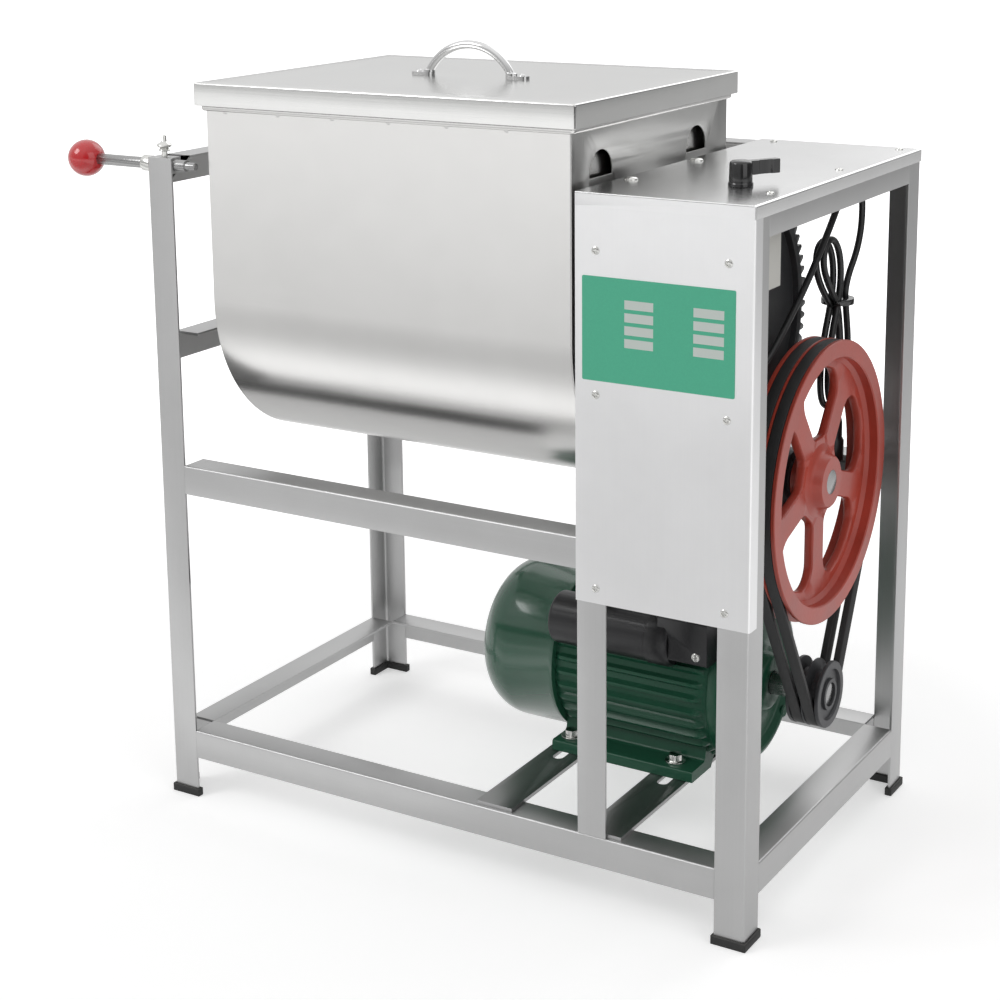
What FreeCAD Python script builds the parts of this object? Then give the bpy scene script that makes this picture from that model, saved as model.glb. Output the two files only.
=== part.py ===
"""Tilting bowl dough mixer on an angle-iron frame, in millimetres.

Working axes: X runs along the frame from its left end, Y runs back from the
front face and Z runs up from the floor. The finished solids are moved so that
the origin lies under the middle of the whole object.
"""
import FreeCAD
import Part
import math
import os

V = FreeCAD.Vector

# frame
FRAME_LENGTH = 700.0
FRAME_DEPTH = 420.0
FRAME_HEIGHT = 720.0
ANGLE = 32.0
ANGLE_WALL = 3.0
BOTTOM_RAIL_TOP = 78.0
MID_RAIL_TOP = 385.0
BEARING_RAIL_TOP = 526.0
COUNTER_RAIL_TOP = 367.5
BAY = 182.0
MID_POST_X = FRAME_LENGTH - BAY
COUNTER_INNER_IN = 20.0
COUNTER_OUTER_IN = 82.0
COUNTER_RAIL_X = (MID_POST_X + COUNTER_INNER_IN, FRAME_LENGTH - COUNTER_OUTER_IN)
FOOT_HEIGHT = 9.0
FOOT_WALL = 2.5

# sheet metal
SHEET = 1.2
PANEL_BOTTOM = 322.0
PANEL_RETURN = 15.0
PLATE_FOLD = 12.0
DATA_PLATE_SIDES = (8.0, 17.0)
DATA_PLATE_DROPS = (177.0, 77.0)
DATA_PLATE = (
    MID_POST_X + DATA_PLATE_SIDES[0], FRAME_LENGTH - DATA_PLATE_SIDES[1],
    FRAME_HEIGHT - DATA_PLATE_DROPS[0], FRAME_HEIGHT - DATA_PLATE_DROPS[1],
)
DATA_PLATE_THICK = 0.8
PANEL_SCREW_LEFT = 22.0
PANEL_SCREW_RIGHT = 24.5
PANEL_SCREW_DROPS = (53.0, 191.0, 198.0, 383.0)
PLATE_SCREW_RIGHT = 17.0
PLATE_SCREW_Y = (70.0, 236.0)
PLATE_SCREW_BACK = 18.0
DOME_SCREW_IN = 12.0
DOME_SCREW_Y = (88.0, 232.0)
SCREW_HEAD_R = 4.2
SCREW_HEAD_H = 1.8
DOME_R = 7.0
DOME_H = 3.2

# shafts
MAIN_R = 15.0
COUNTER_R = 12.5
MAIN_BEARING_H = 43.0
COUNTER_BEARING_H = 36.5
RUNNING_FIT = 0.05
MAIN_FORWARD = 22.0
MAIN_Y = FRAME_DEPTH / 2.0 - MAIN_FORWARD
BEARING_WIDTH = 28.0

# bowl
BOWL_LEFT = 68.0
BOWL_POST_GAP = 14.0
BOWL_RIGHT = MID_POST_X - BOWL_POST_GAP
BOWL_FRONT_GAP = 18.0
BOWL_R = MAIN_Y - BOWL_FRONT_GAP
BOWL_WALL = 1.5
BOWL_TOP = 799.0
END_GAP = 6.5
RIM_OUT = 5.0
RIM_BELOW = 7.0
RIM_HEIGHT = 21.0
RIM_TOP = BOWL_TOP - RIM_BELOW
RIM_BOTTOM = RIM_TOP - RIM_HEIGHT
RIM_RADIUS = 3.0
ARCH_WIDTH = 46.0
ARCH_BELOW = 75.0
ARCH_BASE = BOWL_TOP - ARCH_BELOW
ARCH_HEIGHT = 26.0
ARCH_FRONT = 58.0
ARCH_BACK = 74.0
HUB_R = 34.0
HUB_LENGTH = 8.0

# lid
LID_OVER = 4.5
LID_WALL = 1.2
LID_SKIRT = 24.0
LID_CORNER = 4.0
LID_REST_GAP = 0.3
HANDLE_SPAN = 102.0
HANDLE_RISE = 38.0
HANDLE_R = 4.5
HANDLE_FOOT = 21.0
HANDLE_FOOT_WIDTH = 14.0
HANDLE_FOOT_THICK = 3.0

# mixing arm
ARM_R = 9.0
ARM_CLEAR = 28.0
ARM_REACH = BOWL_R - ARM_CLEAR
ARM_INSET = 34.0

# gears
MODULE = 4.0
GEAR_TEETH = 68
PINION_TEETH = 17
GEAR_FACE = 26.0
GEAR_IN = 114.0
GEAR_X = FRAME_LENGTH - GEAR_IN
GEAR_HUB_R = 32.0
GEAR_HUB_OUT = 5.0
GEAR_WEB = 12.0
ADDENDUM = 0.9
BACKLASH = 0.5
PRESSURE = math.radians(20.0)

# belt drive
PULLEY_IN = 49.0
PULLEY_X = FRAME_LENGTH - PULLEY_IN
PULLEY_WIDTH = 36.0
PULLEY_SIDE = 65.0
BIG_PULLEY_R = FRAME_DEPTH / 2.0 - PULLEY_SIDE
SMALL_PULLEY_R = 35.0
GROOVE_PITCH = 15.0
GROOVE_TOP = 13.4
GROOVE_DEPTH = 11.0
GROOVE_SLOPE = math.tan(math.radians(19.0))
BELT_SINK = 0.5
BELT_HEIGHT = 8.0
BELT_CLEAR = 0.3
BIG_RIM_THICK = 18.0
BIG_RIM_INNER_R = BIG_PULLEY_R - BIG_RIM_THICK
BIG_WEB = 10.0
BIG_WEB_BACK = 12.0
BIG_HUB_R = 27.0
WINDOWS = 5
WINDOW_INNER_R = 46.0
WINDOW_EDGE = 10.0
WINDOW_OUTER_R = BIG_RIM_INNER_R - WINDOW_EDGE
SPOKE_HALF = 14.0
WINDOW_FILLET = 15.0

# motor
MOTOR_BEHIND = 50.0
MOTOR_Y = MAIN_Y + MOTOR_BEHIND
MOTOR_IN = 110.0
MOTOR_LENGTH = 185.0
MOTOR_BODY = (FRAME_LENGTH - MOTOR_IN - MOTOR_LENGTH, FRAME_LENGTH - MOTOR_IN)
MOTOR_H = 90.0
MOTOR_RAIL_THICK = 4.0
MOTOR_RAIL_WIDTH = 42.0
MOTOR_BOLT_IN = 14.0
MOTOR_BOLT_SPAN = 125.0
MOTOR_BOLT_X = (MOTOR_BODY[0] + MOTOR_BOLT_IN, MOTOR_BODY[0] + MOTOR_BOLT_IN + MOTOR_BOLT_SPAN)
MOTOR_BOLT_OUT = 72.0
MOTOR_SLOT_W = 12.0
MOTOR_SLOT_L = 70.0
MOTOR_CORE_R = 82.0
MOTOR_BORE_R = 50.0
MOTOR_END_WALL = 8.0
MOTOR_FIN_R = 88.0
MOTOR_FINS = 40
FAN_COVER_R = 89.5
FAN_COVER_LENGTH = 105.0
FAN_COVER_LEFT = MOTOR_BODY[0] - FAN_COVER_LENGTH
FAN_COVER_WALL = 2.0
FAN_COVER_DOME = 46.0
FAN_COVER_LIP = 12.0
BELL_R = 88.0
BELL_LENGTH = 22.0
BELL_RIGHT = MOTOR_BODY[1] + BELL_LENGTH
BELL_BOSS_R = 30.0
BELL_BOSS_OUT = 10.0
MOTOR_SHAFT_R = 12.0
FOOT_HALF_WIDTH = 90.0
FOOT_THICK = 12.0
FOOT_SHORT = 18.0
FOOT_RIGHT = MOTOR_BODY[1] - FOOT_SHORT
CAP_R = 28.0
CAP_IN = 3.0
CAP_LENGTH = 140.0
CAP_X = (MOTOR_BODY[0] + CAP_IN, MOTOR_BODY[0] + CAP_IN + CAP_LENGTH)
CAP_Y_OUT = 78.0
CAP_Z_UP = 60.0
TERMINAL_LENGTH = 44.0
TERMINAL_X = CAP_X[1] + TERMINAL_LENGTH

# switch
SWITCH_IN = 33.0
SWITCH_WIDTH = 51.0
SWITCH_X = (FRAME_LENGTH - SWITCH_IN - SWITCH_WIDTH, FRAME_LENGTH - SWITCH_IN)
SWITCH_Y = (56.0, 136.0)
SWITCH_HEIGHT = 98.0
SWITCH_BOTTOM = FRAME_HEIGHT - SWITCH_HEIGHT
SPINDLE_R = 4.0
KNOB_R = 12.0
KNOB_H = 24.0
LEVER_LENGTH = 42.0
LEVER_WIDTH = 9.0
LEVER_H = 14.0
LEVER_ANGLE = 58.0
KNOB_GAP = 0.3

# latch
ROD_R = 6.0
ROD_Y = 9.5
ROD_BELOW = 8.0
ROD_Z = FRAME_HEIGHT - ROD_BELOW
ROD_LENGTH = 152.0
ROD_TIP_R = 4.2
ROD_TIP = 12.0
BALL_R = 20.0
LATCH_CLEAR = 1.0
COLLAR_R = 8.5
COLLAR_OUT = 12.0
BLOCK_SIZE = 26.0
BLOCK_H = 17.0
CLAMP_X = 16.0
CLAMP_R = 3.0

# cables
CABLE_R = 3.5
HANK_R = 5.5
PLUG_R = 11.0
PLUG_LENGTH = 67.0
LEAD_IN = 50.0
TIE_R = 17.5
TIE_WIDTH = 6.0

MAIN_Z = BEARING_RAIL_TOP + MAIN_BEARING_H
COUNTER_Z = COUNTER_RAIL_TOP + COUNTER_BEARING_H
CENTRES = MODULE * (GEAR_TEETH + PINION_TEETH) / 2.0
COUNTER_Y = MAIN_Y + math.sqrt(CENTRES ** 2 - (MAIN_Z - COUNTER_Z) ** 2)
MOTOR_Z = BOTTOM_RAIL_TOP + MOTOR_RAIL_THICK + MOTOR_H
BOWL_FRONT = MAIN_Y - BOWL_R
BOWL_BACK = MAIN_Y + BOWL_R
RIM_LEFT = BOWL_LEFT - RIM_OUT
RIM_RIGHT = BOWL_RIGHT + RIM_OUT
RIM_FRONT = BOWL_FRONT - RIM_OUT
RIM_BACK = BOWL_BACK + RIM_OUT
LID_LEFT = RIM_LEFT - LID_OVER
LID_RIGHT = RIM_RIGHT + LID_OVER
LID_FRONT = RIM_FRONT - LID_OVER
LID_BACK = RIM_BACK + LID_OVER
LID_TOP = BOWL_TOP + LID_REST_GAP + LID_WALL
ROD_TIP_X = LID_LEFT - LATCH_CLEAR
BALL_X = ROD_TIP_X - ROD_LENGTH
ORIGIN_X = (BALL_X - BALL_R + FRAME_LENGTH + FOOT_WALL) / 2.0
ORIGIN_Y = (ROD_Y - BALL_R + FRAME_DEPTH + FOOT_WALL) / 2.0
GROOVE_X = (
    PULLEY_X + (PULLEY_WIDTH - GROOVE_PITCH) / 2.0,
    PULLEY_X + (PULLEY_WIDTH + GROOVE_PITCH) / 2.0,
)

parts = {}
cord_bends = {}


def box(x0, x1, y0, y1, z0, z1):
    """Box between two corners."""
    return Part.makeBox(x1 - x0, y1 - y0, z1 - z0, V(x0, y0, z0))


def rod_x(x0, x1, y, z, r):
    """Cylinder along X."""
    return Part.makeCylinder(r, x1 - x0, V(x0, y, z), V(1, 0, 0))


def rod_z(x, y, z0, z1, r):
    """Cylinder along Z."""
    return Part.makeCylinder(r, z1 - z0, V(x, y, z0), V(0, 0, 1))


def joined(shapes):
    """One solid from touching or overlapping shapes."""
    result = shapes[0]
    for shape in shapes[1:]:
        result = result.fuse(shape)
    return result.removeSplitter()


def group(shapes):
    """Separate solids that share a node."""
    return Part.makeCompound(shapes)


def prism_x(points, x0, x1):
    """Closed outline of (y, z) points carried from x0 to x1."""
    wire = Part.makePolygon([V(x0, y, z) for y, z in points + points[:1]])
    return Part.Face(wire).extrude(V(x1 - x0, 0, 0))


def turned_x(points, y, z):
    """Solid of revolution about the X line through (y, z), from (x, r) points."""
    wire = Part.makePolygon([V(x, y, z + r) for x, r in points + points[:1]])
    return Part.Face(wire).revolve(V(0, y, z), V(1, 0, 0), 360)


def turned_z(points, x, y):
    """Solid of revolution about the Z line through (x, y), from (r, z) points."""
    wire = Part.makePolygon([V(x + r, y, z) for r, z in points + points[:1]])
    return Part.Face(wire).revolve(V(x, y, 0), V(0, 0, 1), 360)


def edges_along(shape, direction):
    """Straight edges of a shape that run along a direction."""
    found = []
    for edge in shape.Edges:
        if edge.Curve.TypeId == "Part::GeomLine":
            if abs(abs(edge.tangentAt(edge.FirstParameter).dot(direction)) - 1) < 1e-6:
                found.append(edge)
    return found


def angle_post(x, y, sx, sy, z0, z1):
    """Upright angle with its corner at (x, y) and flanges towards sx and sy."""
    xs = sorted((x, x + sx * ANGLE))
    ys = sorted((y, y + sy * ANGLE))
    xw = sorted((x, x + sx * ANGLE_WALL))
    yw = sorted((y, y + sy * ANGLE_WALL))
    flange_x = box(xs[0], xs[1], yw[0], yw[1], z0, z1)
    flange_y = box(xw[0], xw[1], ys[0], ys[1], z0, z1)
    return joined([flange_x, flange_y])


def rail_along_x(x0, x1, y, sy, top):
    """Angle along X with its upright flange at y and its top flange inward."""
    ys = sorted((y, y + sy * ANGLE))
    yw = sorted((y, y + sy * ANGLE_WALL))
    upright = box(x0, x1, yw[0], yw[1], top - ANGLE, top)
    shelf = box(x0, x1, ys[0], ys[1], top - ANGLE_WALL, top)
    return joined([upright, shelf])


def rail_along_y(y0, y1, x, sx, top):
    """Angle along Y with its upright flange at x and its top flange inward."""
    xs = sorted((x, x + sx * ANGLE))
    xw = sorted((x, x + sx * ANGLE_WALL))
    upright = box(xw[0], xw[1], y0, y1, top - ANGLE, top)
    shelf = box(xs[0], xs[1], y0, y1, top - ANGLE_WALL, top)
    return joined([upright, shelf])


def build_frame():
    """Posts, rails and rubber feet."""
    length, depth = FRAME_LENGTH, FRAME_DEPTH
    corners = {
        "front_left": (0.0, 0.0, 1, 1),
        "front_right": (length, 0.0, -1, 1),
        "rear_left": (0.0, depth, 1, -1),
        "rear_right": (length, depth, -1, -1),
    }
    rod_hole = rod_x(-1.0, ANGLE, ROD_Y, ROD_Z, ROD_R + RUNNING_FIT)
    feet = []
    for name, (x, y, sx, sy) in corners.items():
        post = angle_post(x, y, sx, sy, FOOT_WALL, FRAME_HEIGHT)
        if name == "front_left":
            post = post.cut(rod_hole)
        parts["post_" + name] = post
        feet.append(build_foot(x, y, sx, sy, post))
    parts["rubber_feet"] = group(feet)

    mid_end = MID_POST_X + ANGLE
    parts["mid_post_front"] = angle_post(MID_POST_X, 0.0, 1, 1, BOTTOM_RAIL_TOP, FRAME_HEIGHT)
    parts["mid_post_rear"] = angle_post(MID_POST_X, depth, 1, -1, BOTTOM_RAIL_TOP, FRAME_HEIGHT)

    x0, x1 = ANGLE, length - ANGLE
    y0, y1 = ANGLE, depth - ANGLE
    parts["rail_bottom_front"] = rail_along_x(x0, x1, 0.0, 1, BOTTOM_RAIL_TOP)
    parts["rail_bottom_rear"] = rail_along_x(x0, x1, depth, -1, BOTTOM_RAIL_TOP)
    parts["rail_bottom_left"] = rail_along_y(y0, y1, 0.0, 1, BOTTOM_RAIL_TOP)
    parts["rail_bottom_right"] = rail_along_y(y0, y1, length, -1, BOTTOM_RAIL_TOP)
    for name, y, sy in (("front", 0.0, 1), ("rear", depth, -1)):
        left = rail_along_x(x0, MID_POST_X, y, sy, MID_RAIL_TOP)
        right = rail_along_x(mid_end, x1, y, sy, MID_RAIL_TOP)
        parts["rail_mid_" + name] = group([left, right])
    parts["rail_mid_left"] = rail_along_y(y0, y1, 0.0, 1, BEARING_RAIL_TOP)
    parts["rail_top_left"] = rail_along_y(y0, y1, 0.0, 1, FRAME_HEIGHT)
    parts["rail_top_right"] = rail_along_y(y0, y1, length, -1, FRAME_HEIGHT)
    parts["rail_top_front"] = rail_along_x(mid_end, x1, 0.0, 1, FRAME_HEIGHT)
    rear_left = rail_along_x(x0, MID_POST_X, depth, -1, FRAME_HEIGHT)
    rear_right = rail_along_x(mid_end, x1, depth, -1, FRAME_HEIGHT)
    parts["rail_top_rear"] = group([rear_left, rear_right])
    parts["bearing_rail"] = rail_along_y(y0, y1, MID_POST_X, 1, BEARING_RAIL_TOP)
    counter_rails = []
    for x in COUNTER_RAIL_X:
        counter_rails.append(
            rail_along_y(ANGLE_WALL, depth - ANGLE_WALL, x, 1, COUNTER_RAIL_TOP)
        )
    parts["counter_rail_inner"] = counter_rails[0]
    parts["counter_rail_outer"] = counter_rails[1]


def build_foot(x, y, sx, sy, post):
    """Rubber shoe round the foot of one post."""
    outer = ANGLE + FOOT_WALL
    xs = sorted((x - sx * FOOT_WALL, x + sx * outer))
    ys = sorted((y - sy * FOOT_WALL, y + sy * outer))
    xw = sorted((x - sx * FOOT_WALL, x + sx * (ANGLE_WALL + FOOT_WALL)))
    yw = sorted((y - sy * FOOT_WALL, y + sy * (ANGLE_WALL + FOOT_WALL)))
    along_x = box(xs[0], xs[1], yw[0], yw[1], 0.0, FOOT_HEIGHT)
    along_y = box(xw[0], xw[1], ys[0], ys[1], 0.0, FOOT_HEIGHT)
    return joined([along_x, along_y]).cut(post)


def build_motor_rails():
    """Two slotted flats that carry the motor feet."""
    rails = []
    z0 = BOTTOM_RAIL_TOP
    z1 = BOTTOM_RAIL_TOP + MOTOR_RAIL_THICK
    for x in MOTOR_BOLT_X:
        flat = box(
            x - MOTOR_RAIL_WIDTH / 2, x + MOTOR_RAIL_WIDTH / 2,
            ANGLE_WALL + 1.0, FRAME_DEPTH - ANGLE_WALL - 1.0, z0, z1,
        )
        for side in (-1, 1):
            y = MOTOR_Y + side * MOTOR_BOLT_OUT
            slot = box(
                x - MOTOR_SLOT_W / 2, x + MOTOR_SLOT_W / 2,
                y - MOTOR_SLOT_L / 2, y + MOTOR_SLOT_L / 2, z0 - 1, z1 + 1,
            )
            slot = slot.makeFillet(MOTOR_SLOT_W / 2 - 0.01, edges_along(slot, V(0, 0, 1)))
            flat = flat.cut(slot)
        rails.append(flat)
    parts["motor_rails"] = group(rails)


def build_covers():
    """Front panel, top plate and the bare data plate."""
    right = FRAME_LENGTH + SHEET
    fold_bottom = FRAME_HEIGHT - PLATE_FOLD
    face = box(MID_POST_X, right, -SHEET, 0.0, PANEL_BOTTOM, FRAME_HEIGHT)
    face = face.cut(box(FRAME_LENGTH, right + 1, -SHEET - 1, 1.0, fold_bottom, FRAME_HEIGHT + 1))
    turned = box(FRAME_LENGTH, right, -SHEET, PANEL_RETURN, PANEL_BOTTOM, fold_bottom)
    parts["front_panel"] = joined([face, turned])

    plate = box(MID_POST_X, right, -SHEET, FRAME_DEPTH, FRAME_HEIGHT, FRAME_HEIGHT + SHEET)
    fold = box(FRAME_LENGTH, right, -SHEET, FRAME_DEPTH, fold_bottom, FRAME_HEIGHT)
    knob_x = sum(SWITCH_X) / 2.0
    knob_y = sum(SWITCH_Y) / 2.0
    hole = rod_z(knob_x, knob_y, FRAME_HEIGHT - 1, FRAME_HEIGHT + SHEET + 1, SPINDLE_R + 0.5)
    parts["top_plate"] = joined([plate, fold]).cut(hole)

    x0, x1, z0, z1 = DATA_PLATE
    parts["data_plate"] = box(x0, x1, -SHEET - DATA_PLATE_THICK, -SHEET, z0, z1)


def dome(radius, height):
    """Low domed head standing on Z = 0."""
    ball_r = (radius ** 2 + height ** 2) / (2 * height)
    ball = Part.makeSphere(ball_r, V(0, 0, height - ball_r))
    keep = Part.makeCylinder(radius + 1, height + 1, V(0, 0, 0))
    return ball.common(keep)


def build_screws():
    """Domed screws on the panel and on the top plate."""
    post_x = MID_POST_X + PANEL_SCREW_LEFT
    right_x = FRAME_LENGTH - PANEL_SCREW_RIGHT
    high, middle_left, middle_right, low = PANEL_SCREW_DROPS
    heads = []
    for x, drop in (
        (post_x, high), (right_x, high), (post_x, middle_left),
        (right_x, middle_right), (post_x, low), (right_x, low),
    ):
        head = dome(SCREW_HEAD_R, SCREW_HEAD_H)
        head.rotate(V(0, 0, 0), V(1, 0, 0), 90)
        head.translate(V(x, -SHEET, FRAME_HEIGHT - drop))
        heads.append(head)
    parts["panel_screws"] = group(heads)

    top = FRAME_HEIGHT + SHEET
    heads = []
    dome_x = MID_POST_X + DOME_SCREW_IN
    small_x = FRAME_LENGTH - PLATE_SCREW_RIGHT
    back_y = FRAME_DEPTH - PLATE_SCREW_BACK
    for x, y, r, h in (
        (dome_x, DOME_SCREW_Y[0], DOME_R, DOME_H),
        (dome_x, DOME_SCREW_Y[1], DOME_R, DOME_H),
        (small_x, PLATE_SCREW_Y[0], SCREW_HEAD_R, SCREW_HEAD_H),
        (small_x, PLATE_SCREW_Y[1], SCREW_HEAD_R, SCREW_HEAD_H),
        (small_x, back_y, SCREW_HEAD_R, SCREW_HEAD_H),
        (post_x, back_y, SCREW_HEAD_R, SCREW_HEAD_H),
    ):
        head = dome(r, h)
        head.translate(V(x, y, top))
        heads.append(head)
    parts["plate_screws"] = group(heads)


def bearing_block(x, y, base_z, height, shaft_r):
    """Pillow block with a turned insert, centred on the shaft."""
    half = BEARING_WIDTH / 2.0
    z = base_z + height
    ring_r = height - 9.0
    length = height * 1.65
    foot_h = height * 0.3
    foot = box(x - half, x + half, y - length, y + length, base_z, base_z + foot_h)
    foot = foot.makeFillet(6.0, edges_along(foot, V(0, 0, 1)))
    shoulder = prism_x(
        [
            (y - ring_r - 10.0, base_z + foot_h - 0.5),
            (y + ring_r + 10.0, base_z + foot_h - 0.5),
            (y + ring_r * 0.8, z), (y - ring_r * 0.8, z),
        ],
        x - half * 0.72, x + half * 0.72,
    )
    ring = rod_x(x - half * 0.8, x + half * 0.8, y, z, ring_r)
    insert = rod_x(x - half, x + half, y, z, shaft_r + 6.5)
    nipple = rod_z(x, y, z + ring_r - 2.0, z + ring_r + 6.0, 3.0)
    body = joined([foot, shoulder, ring, insert, nipple])
    body = body.cut(rod_x(x - half - 1, x + half + 1, y, z, shaft_r + RUNNING_FIT))
    return body


def build_bearings():
    """Bearing blocks of the mixing shaft and of the countershaft."""
    half = ANGLE / 2.0
    main_x = (half, MID_POST_X + half)
    counter_x = [x + half for x in COUNTER_RAIL_X]
    main = []
    counter = []
    bolts = []
    for x in main_x:
        main.append(bearing_block(x, MAIN_Y, BEARING_RAIL_TOP, MAIN_BEARING_H, MAIN_R))
        bolts += bearing_bolts(x, MAIN_Y, BEARING_RAIL_TOP, MAIN_BEARING_H)
    for x in counter_x:
        counter.append(
            bearing_block(x, COUNTER_Y, COUNTER_RAIL_TOP, COUNTER_BEARING_H, COUNTER_R)
        )
        bolts += bearing_bolts(x, COUNTER_Y, COUNTER_RAIL_TOP, COUNTER_BEARING_H)
    parts["shaft_bearings"] = group(main)
    parts["counter_bearings"] = group(counter)
    parts["bearing_bolts"] = group(bolts)


def hex_bolt(x, y, z, across):
    """Hexagon head on a washer, standing at height z."""
    points = []
    for k in range(7):
        a = math.radians(60.0 * k)
        points.append(V(x + across * math.cos(a) / 1.732, y + across * math.sin(a) / 1.732, z + 1.6))
    head = Part.Face(Part.makePolygon(points)).extrude(V(0, 0, across * 0.5))
    washer = rod_z(x, y, z, z + 1.6, across * 0.85)
    return joined([washer, head])


def bearing_bolts(x, y, base_z, height):
    """Two bolt heads on one bearing foot."""
    reach = height * 1.35
    z = base_z + height * 0.3
    return [hex_bolt(x, y - reach, z, 11.0), hex_bolt(x, y + reach, z, 11.0)]


def bowl_outline(x, inset, top):
    """U-shaped wire of the bowl at one x, set in by inset, open side at top."""
    r = BOWL_R - inset
    a = V(x, MAIN_Y - r, top)
    b = V(x, MAIN_Y - r, MAIN_Z)
    low = V(x, MAIN_Y, MAIN_Z - r)
    c = V(x, MAIN_Y + r, MAIN_Z)
    d = V(x, MAIN_Y + r, top)
    edges = [
        Part.LineSegment(a, b).toShape(),
        Part.Arc(b, low, c).toShape(),
        Part.LineSegment(c, d).toShape(),
        Part.LineSegment(d, a).toShape(),
    ]
    return Part.Wire(edges)


def bowl_solid(x0, x1, inset, top):
    """Solid U prism of the bowl."""
    return Part.Face(bowl_outline(x0, inset, top)).extrude(V(x1 - x0, 0, 0))


def build_bowl():
    """Sheet bowl with rim, right end cover with two arches, and hubs."""
    cover_left = BOWL_RIGHT - BOWL_WALL
    wall_right = cover_left - END_GAP
    outer = bowl_solid(BOWL_LEFT, cover_left, 0.0, BOWL_TOP)
    trough = outer.cut(bowl_solid(BOWL_LEFT - 1, cover_left + 1, BOWL_WALL, BOWL_TOP + 1))
    hub_hole = rod_x(BOWL_LEFT - 1, BOWL_RIGHT + 1, MAIN_Y, MAIN_Z, HUB_R)
    sheets = [trough]
    for x in (BOWL_LEFT, wall_right - BOWL_WALL):
        sheets.append(bowl_solid(x, x + BOWL_WALL, BOWL_WALL, BOWL_TOP).cut(hub_hole))
    parts["bowl_shell"] = group(sheets)

    rim = box(RIM_LEFT, RIM_RIGHT, RIM_FRONT, RIM_BACK, RIM_BOTTOM, RIM_TOP)
    rim = rim.makeFillet(RIM_RADIUS, edges_along(rim, V(0, 0, 1)))
    lower = []
    for edge in rim.Edges:
        box_e = edge.BoundBox
        if abs(box_e.ZMax - RIM_BOTTOM) < 1e-6 and abs(box_e.ZMin - RIM_BOTTOM) < 1e-6:
            lower.append(edge)
    rim = rim.makeFillet(RIM_RADIUS * 0.7, lower)
    rim_hole = box(BOWL_LEFT, BOWL_RIGHT, BOWL_FRONT, BOWL_BACK, RIM_BOTTOM - 1, RIM_TOP + 1)
    rim = rim.cut(rim_hole)
    parts["bowl_rim"] = rim

    cover = bowl_solid(cover_left, BOWL_RIGHT, 0.0, BOWL_TOP)
    half = ARCH_WIDTH / 2.0
    for y in (BOWL_FRONT + ARCH_FRONT, BOWL_BACK - ARCH_BACK):
        top = ARCH_BASE + ARCH_HEIGHT
        side = V(0, -half, 0)
        a = V(cover_left - 1, y, ARCH_BASE) + side
        b = V(cover_left - 1, y, ARCH_BASE) - side
        edges = [
            Part.LineSegment(a, b).toShape(),
            Part.Arc(b, V(cover_left - 1, y, top), a).toShape(),
        ]
        cut = Part.Face(Part.Wire(edges)).extrude(V(BOWL_WALL + 2, 0, 0))
        cover = cover.cut(cut)
    cover = cover.cut(rod_x(cover_left - 1, BOWL_RIGHT + 1, MAIN_Y, MAIN_Z, HUB_R))
    parts["bowl_end_cover"] = cover

    bore = MAIN_R + RUNNING_FIT
    left_hub = rod_x(BOWL_LEFT - HUB_LENGTH, BOWL_LEFT + BOWL_WALL + HUB_LENGTH, MAIN_Y, MAIN_Z, HUB_R)
    right_hub = rod_x(
        wall_right - BOWL_WALL - HUB_LENGTH, BOWL_RIGHT + HUB_LENGTH, MAIN_Y, MAIN_Z, HUB_R
    )
    hole = rod_x(BOWL_LEFT - 50, BOWL_RIGHT + 50, MAIN_Y, MAIN_Z, bore)
    parts["bowl_hubs"] = group([left_hub.cut(hole), right_hub.cut(hole)])


def build_lid():
    """Pan lid that drops over the rim, with its arched handle."""
    skirt_bottom = LID_TOP - LID_SKIRT
    pan = box(LID_LEFT, LID_RIGHT, LID_FRONT, LID_BACK, skirt_bottom, LID_TOP)
    pan = pan.makeFillet(LID_CORNER, edges_along(pan, V(0, 0, 1)))
    upper = []
    for edge in pan.Edges:
        if edge.BoundBox.ZMin > LID_TOP - 1e-4:
            upper.append(edge)
    pan = pan.makeFillet(LID_WALL * 1.5, upper)
    hollow = box(
        LID_LEFT + LID_WALL, LID_RIGHT - LID_WALL, LID_FRONT + LID_WALL, LID_BACK - LID_WALL,
        skirt_bottom - 1, LID_TOP - LID_WALL,
    )
    hollow = hollow.makeFillet(LID_CORNER - LID_WALL, edges_along(hollow, V(0, 0, 1)))
    parts["lid_pan"] = pan.cut(hollow)

    cx = (LID_LEFT + LID_RIGHT) / 2.0
    cy = (LID_FRONT + LID_BACK) / 2.0
    half = HANDLE_SPAN / 2.0
    base = LID_TOP + HANDLE_FOOT_THICK
    rise = HANDLE_RISE - HANDLE_FOOT_THICK - HANDLE_R
    a = V(cx - half, cy, base)
    b = V(cx + half, cy, base)
    path = Part.Wire([Part.Arc(a, V(cx, cy, base + rise), b).toShape()])
    arc = path.Edges[0]
    start = arc.tangentAt(arc.FirstParameter)
    ring = Part.Wire([Part.makeCircle(HANDLE_R, a, start)])
    bar = path.makePipeShell([ring], True, True)
    feet = []
    for side, x in ((-1, cx - half), (1, cx + half)):
        xs = sorted((x - side * 7.0, x + side * HANDLE_FOOT))
        foot = box(
            xs[0], xs[1], cy - HANDLE_FOOT_WIDTH / 2, cy + HANDLE_FOOT_WIDTH / 2,
            LID_TOP, base,
        )
        foot = foot.makeFillet(HANDLE_FOOT_WIDTH / 2 - 0.5, edges_along(foot, V(0, 0, 1)))
        collar = rod_z(x, cy, LID_TOP + 0.5, base + 3.0, HANDLE_R + 1.8)
        head = dome(3.6, 2.0)
        head.translate(V(x + side * (HANDLE_FOOT - 8.0), cy, base - 0.01))
        feet += [foot, collar, head]
    bar = bar.cut(box(cx - half - 20, cx + half + 20, cy - 20, cy + 20, base - 30, LID_TOP + 0.5))
    parts["lid_handle"] = joined([bar] + feet)


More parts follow.
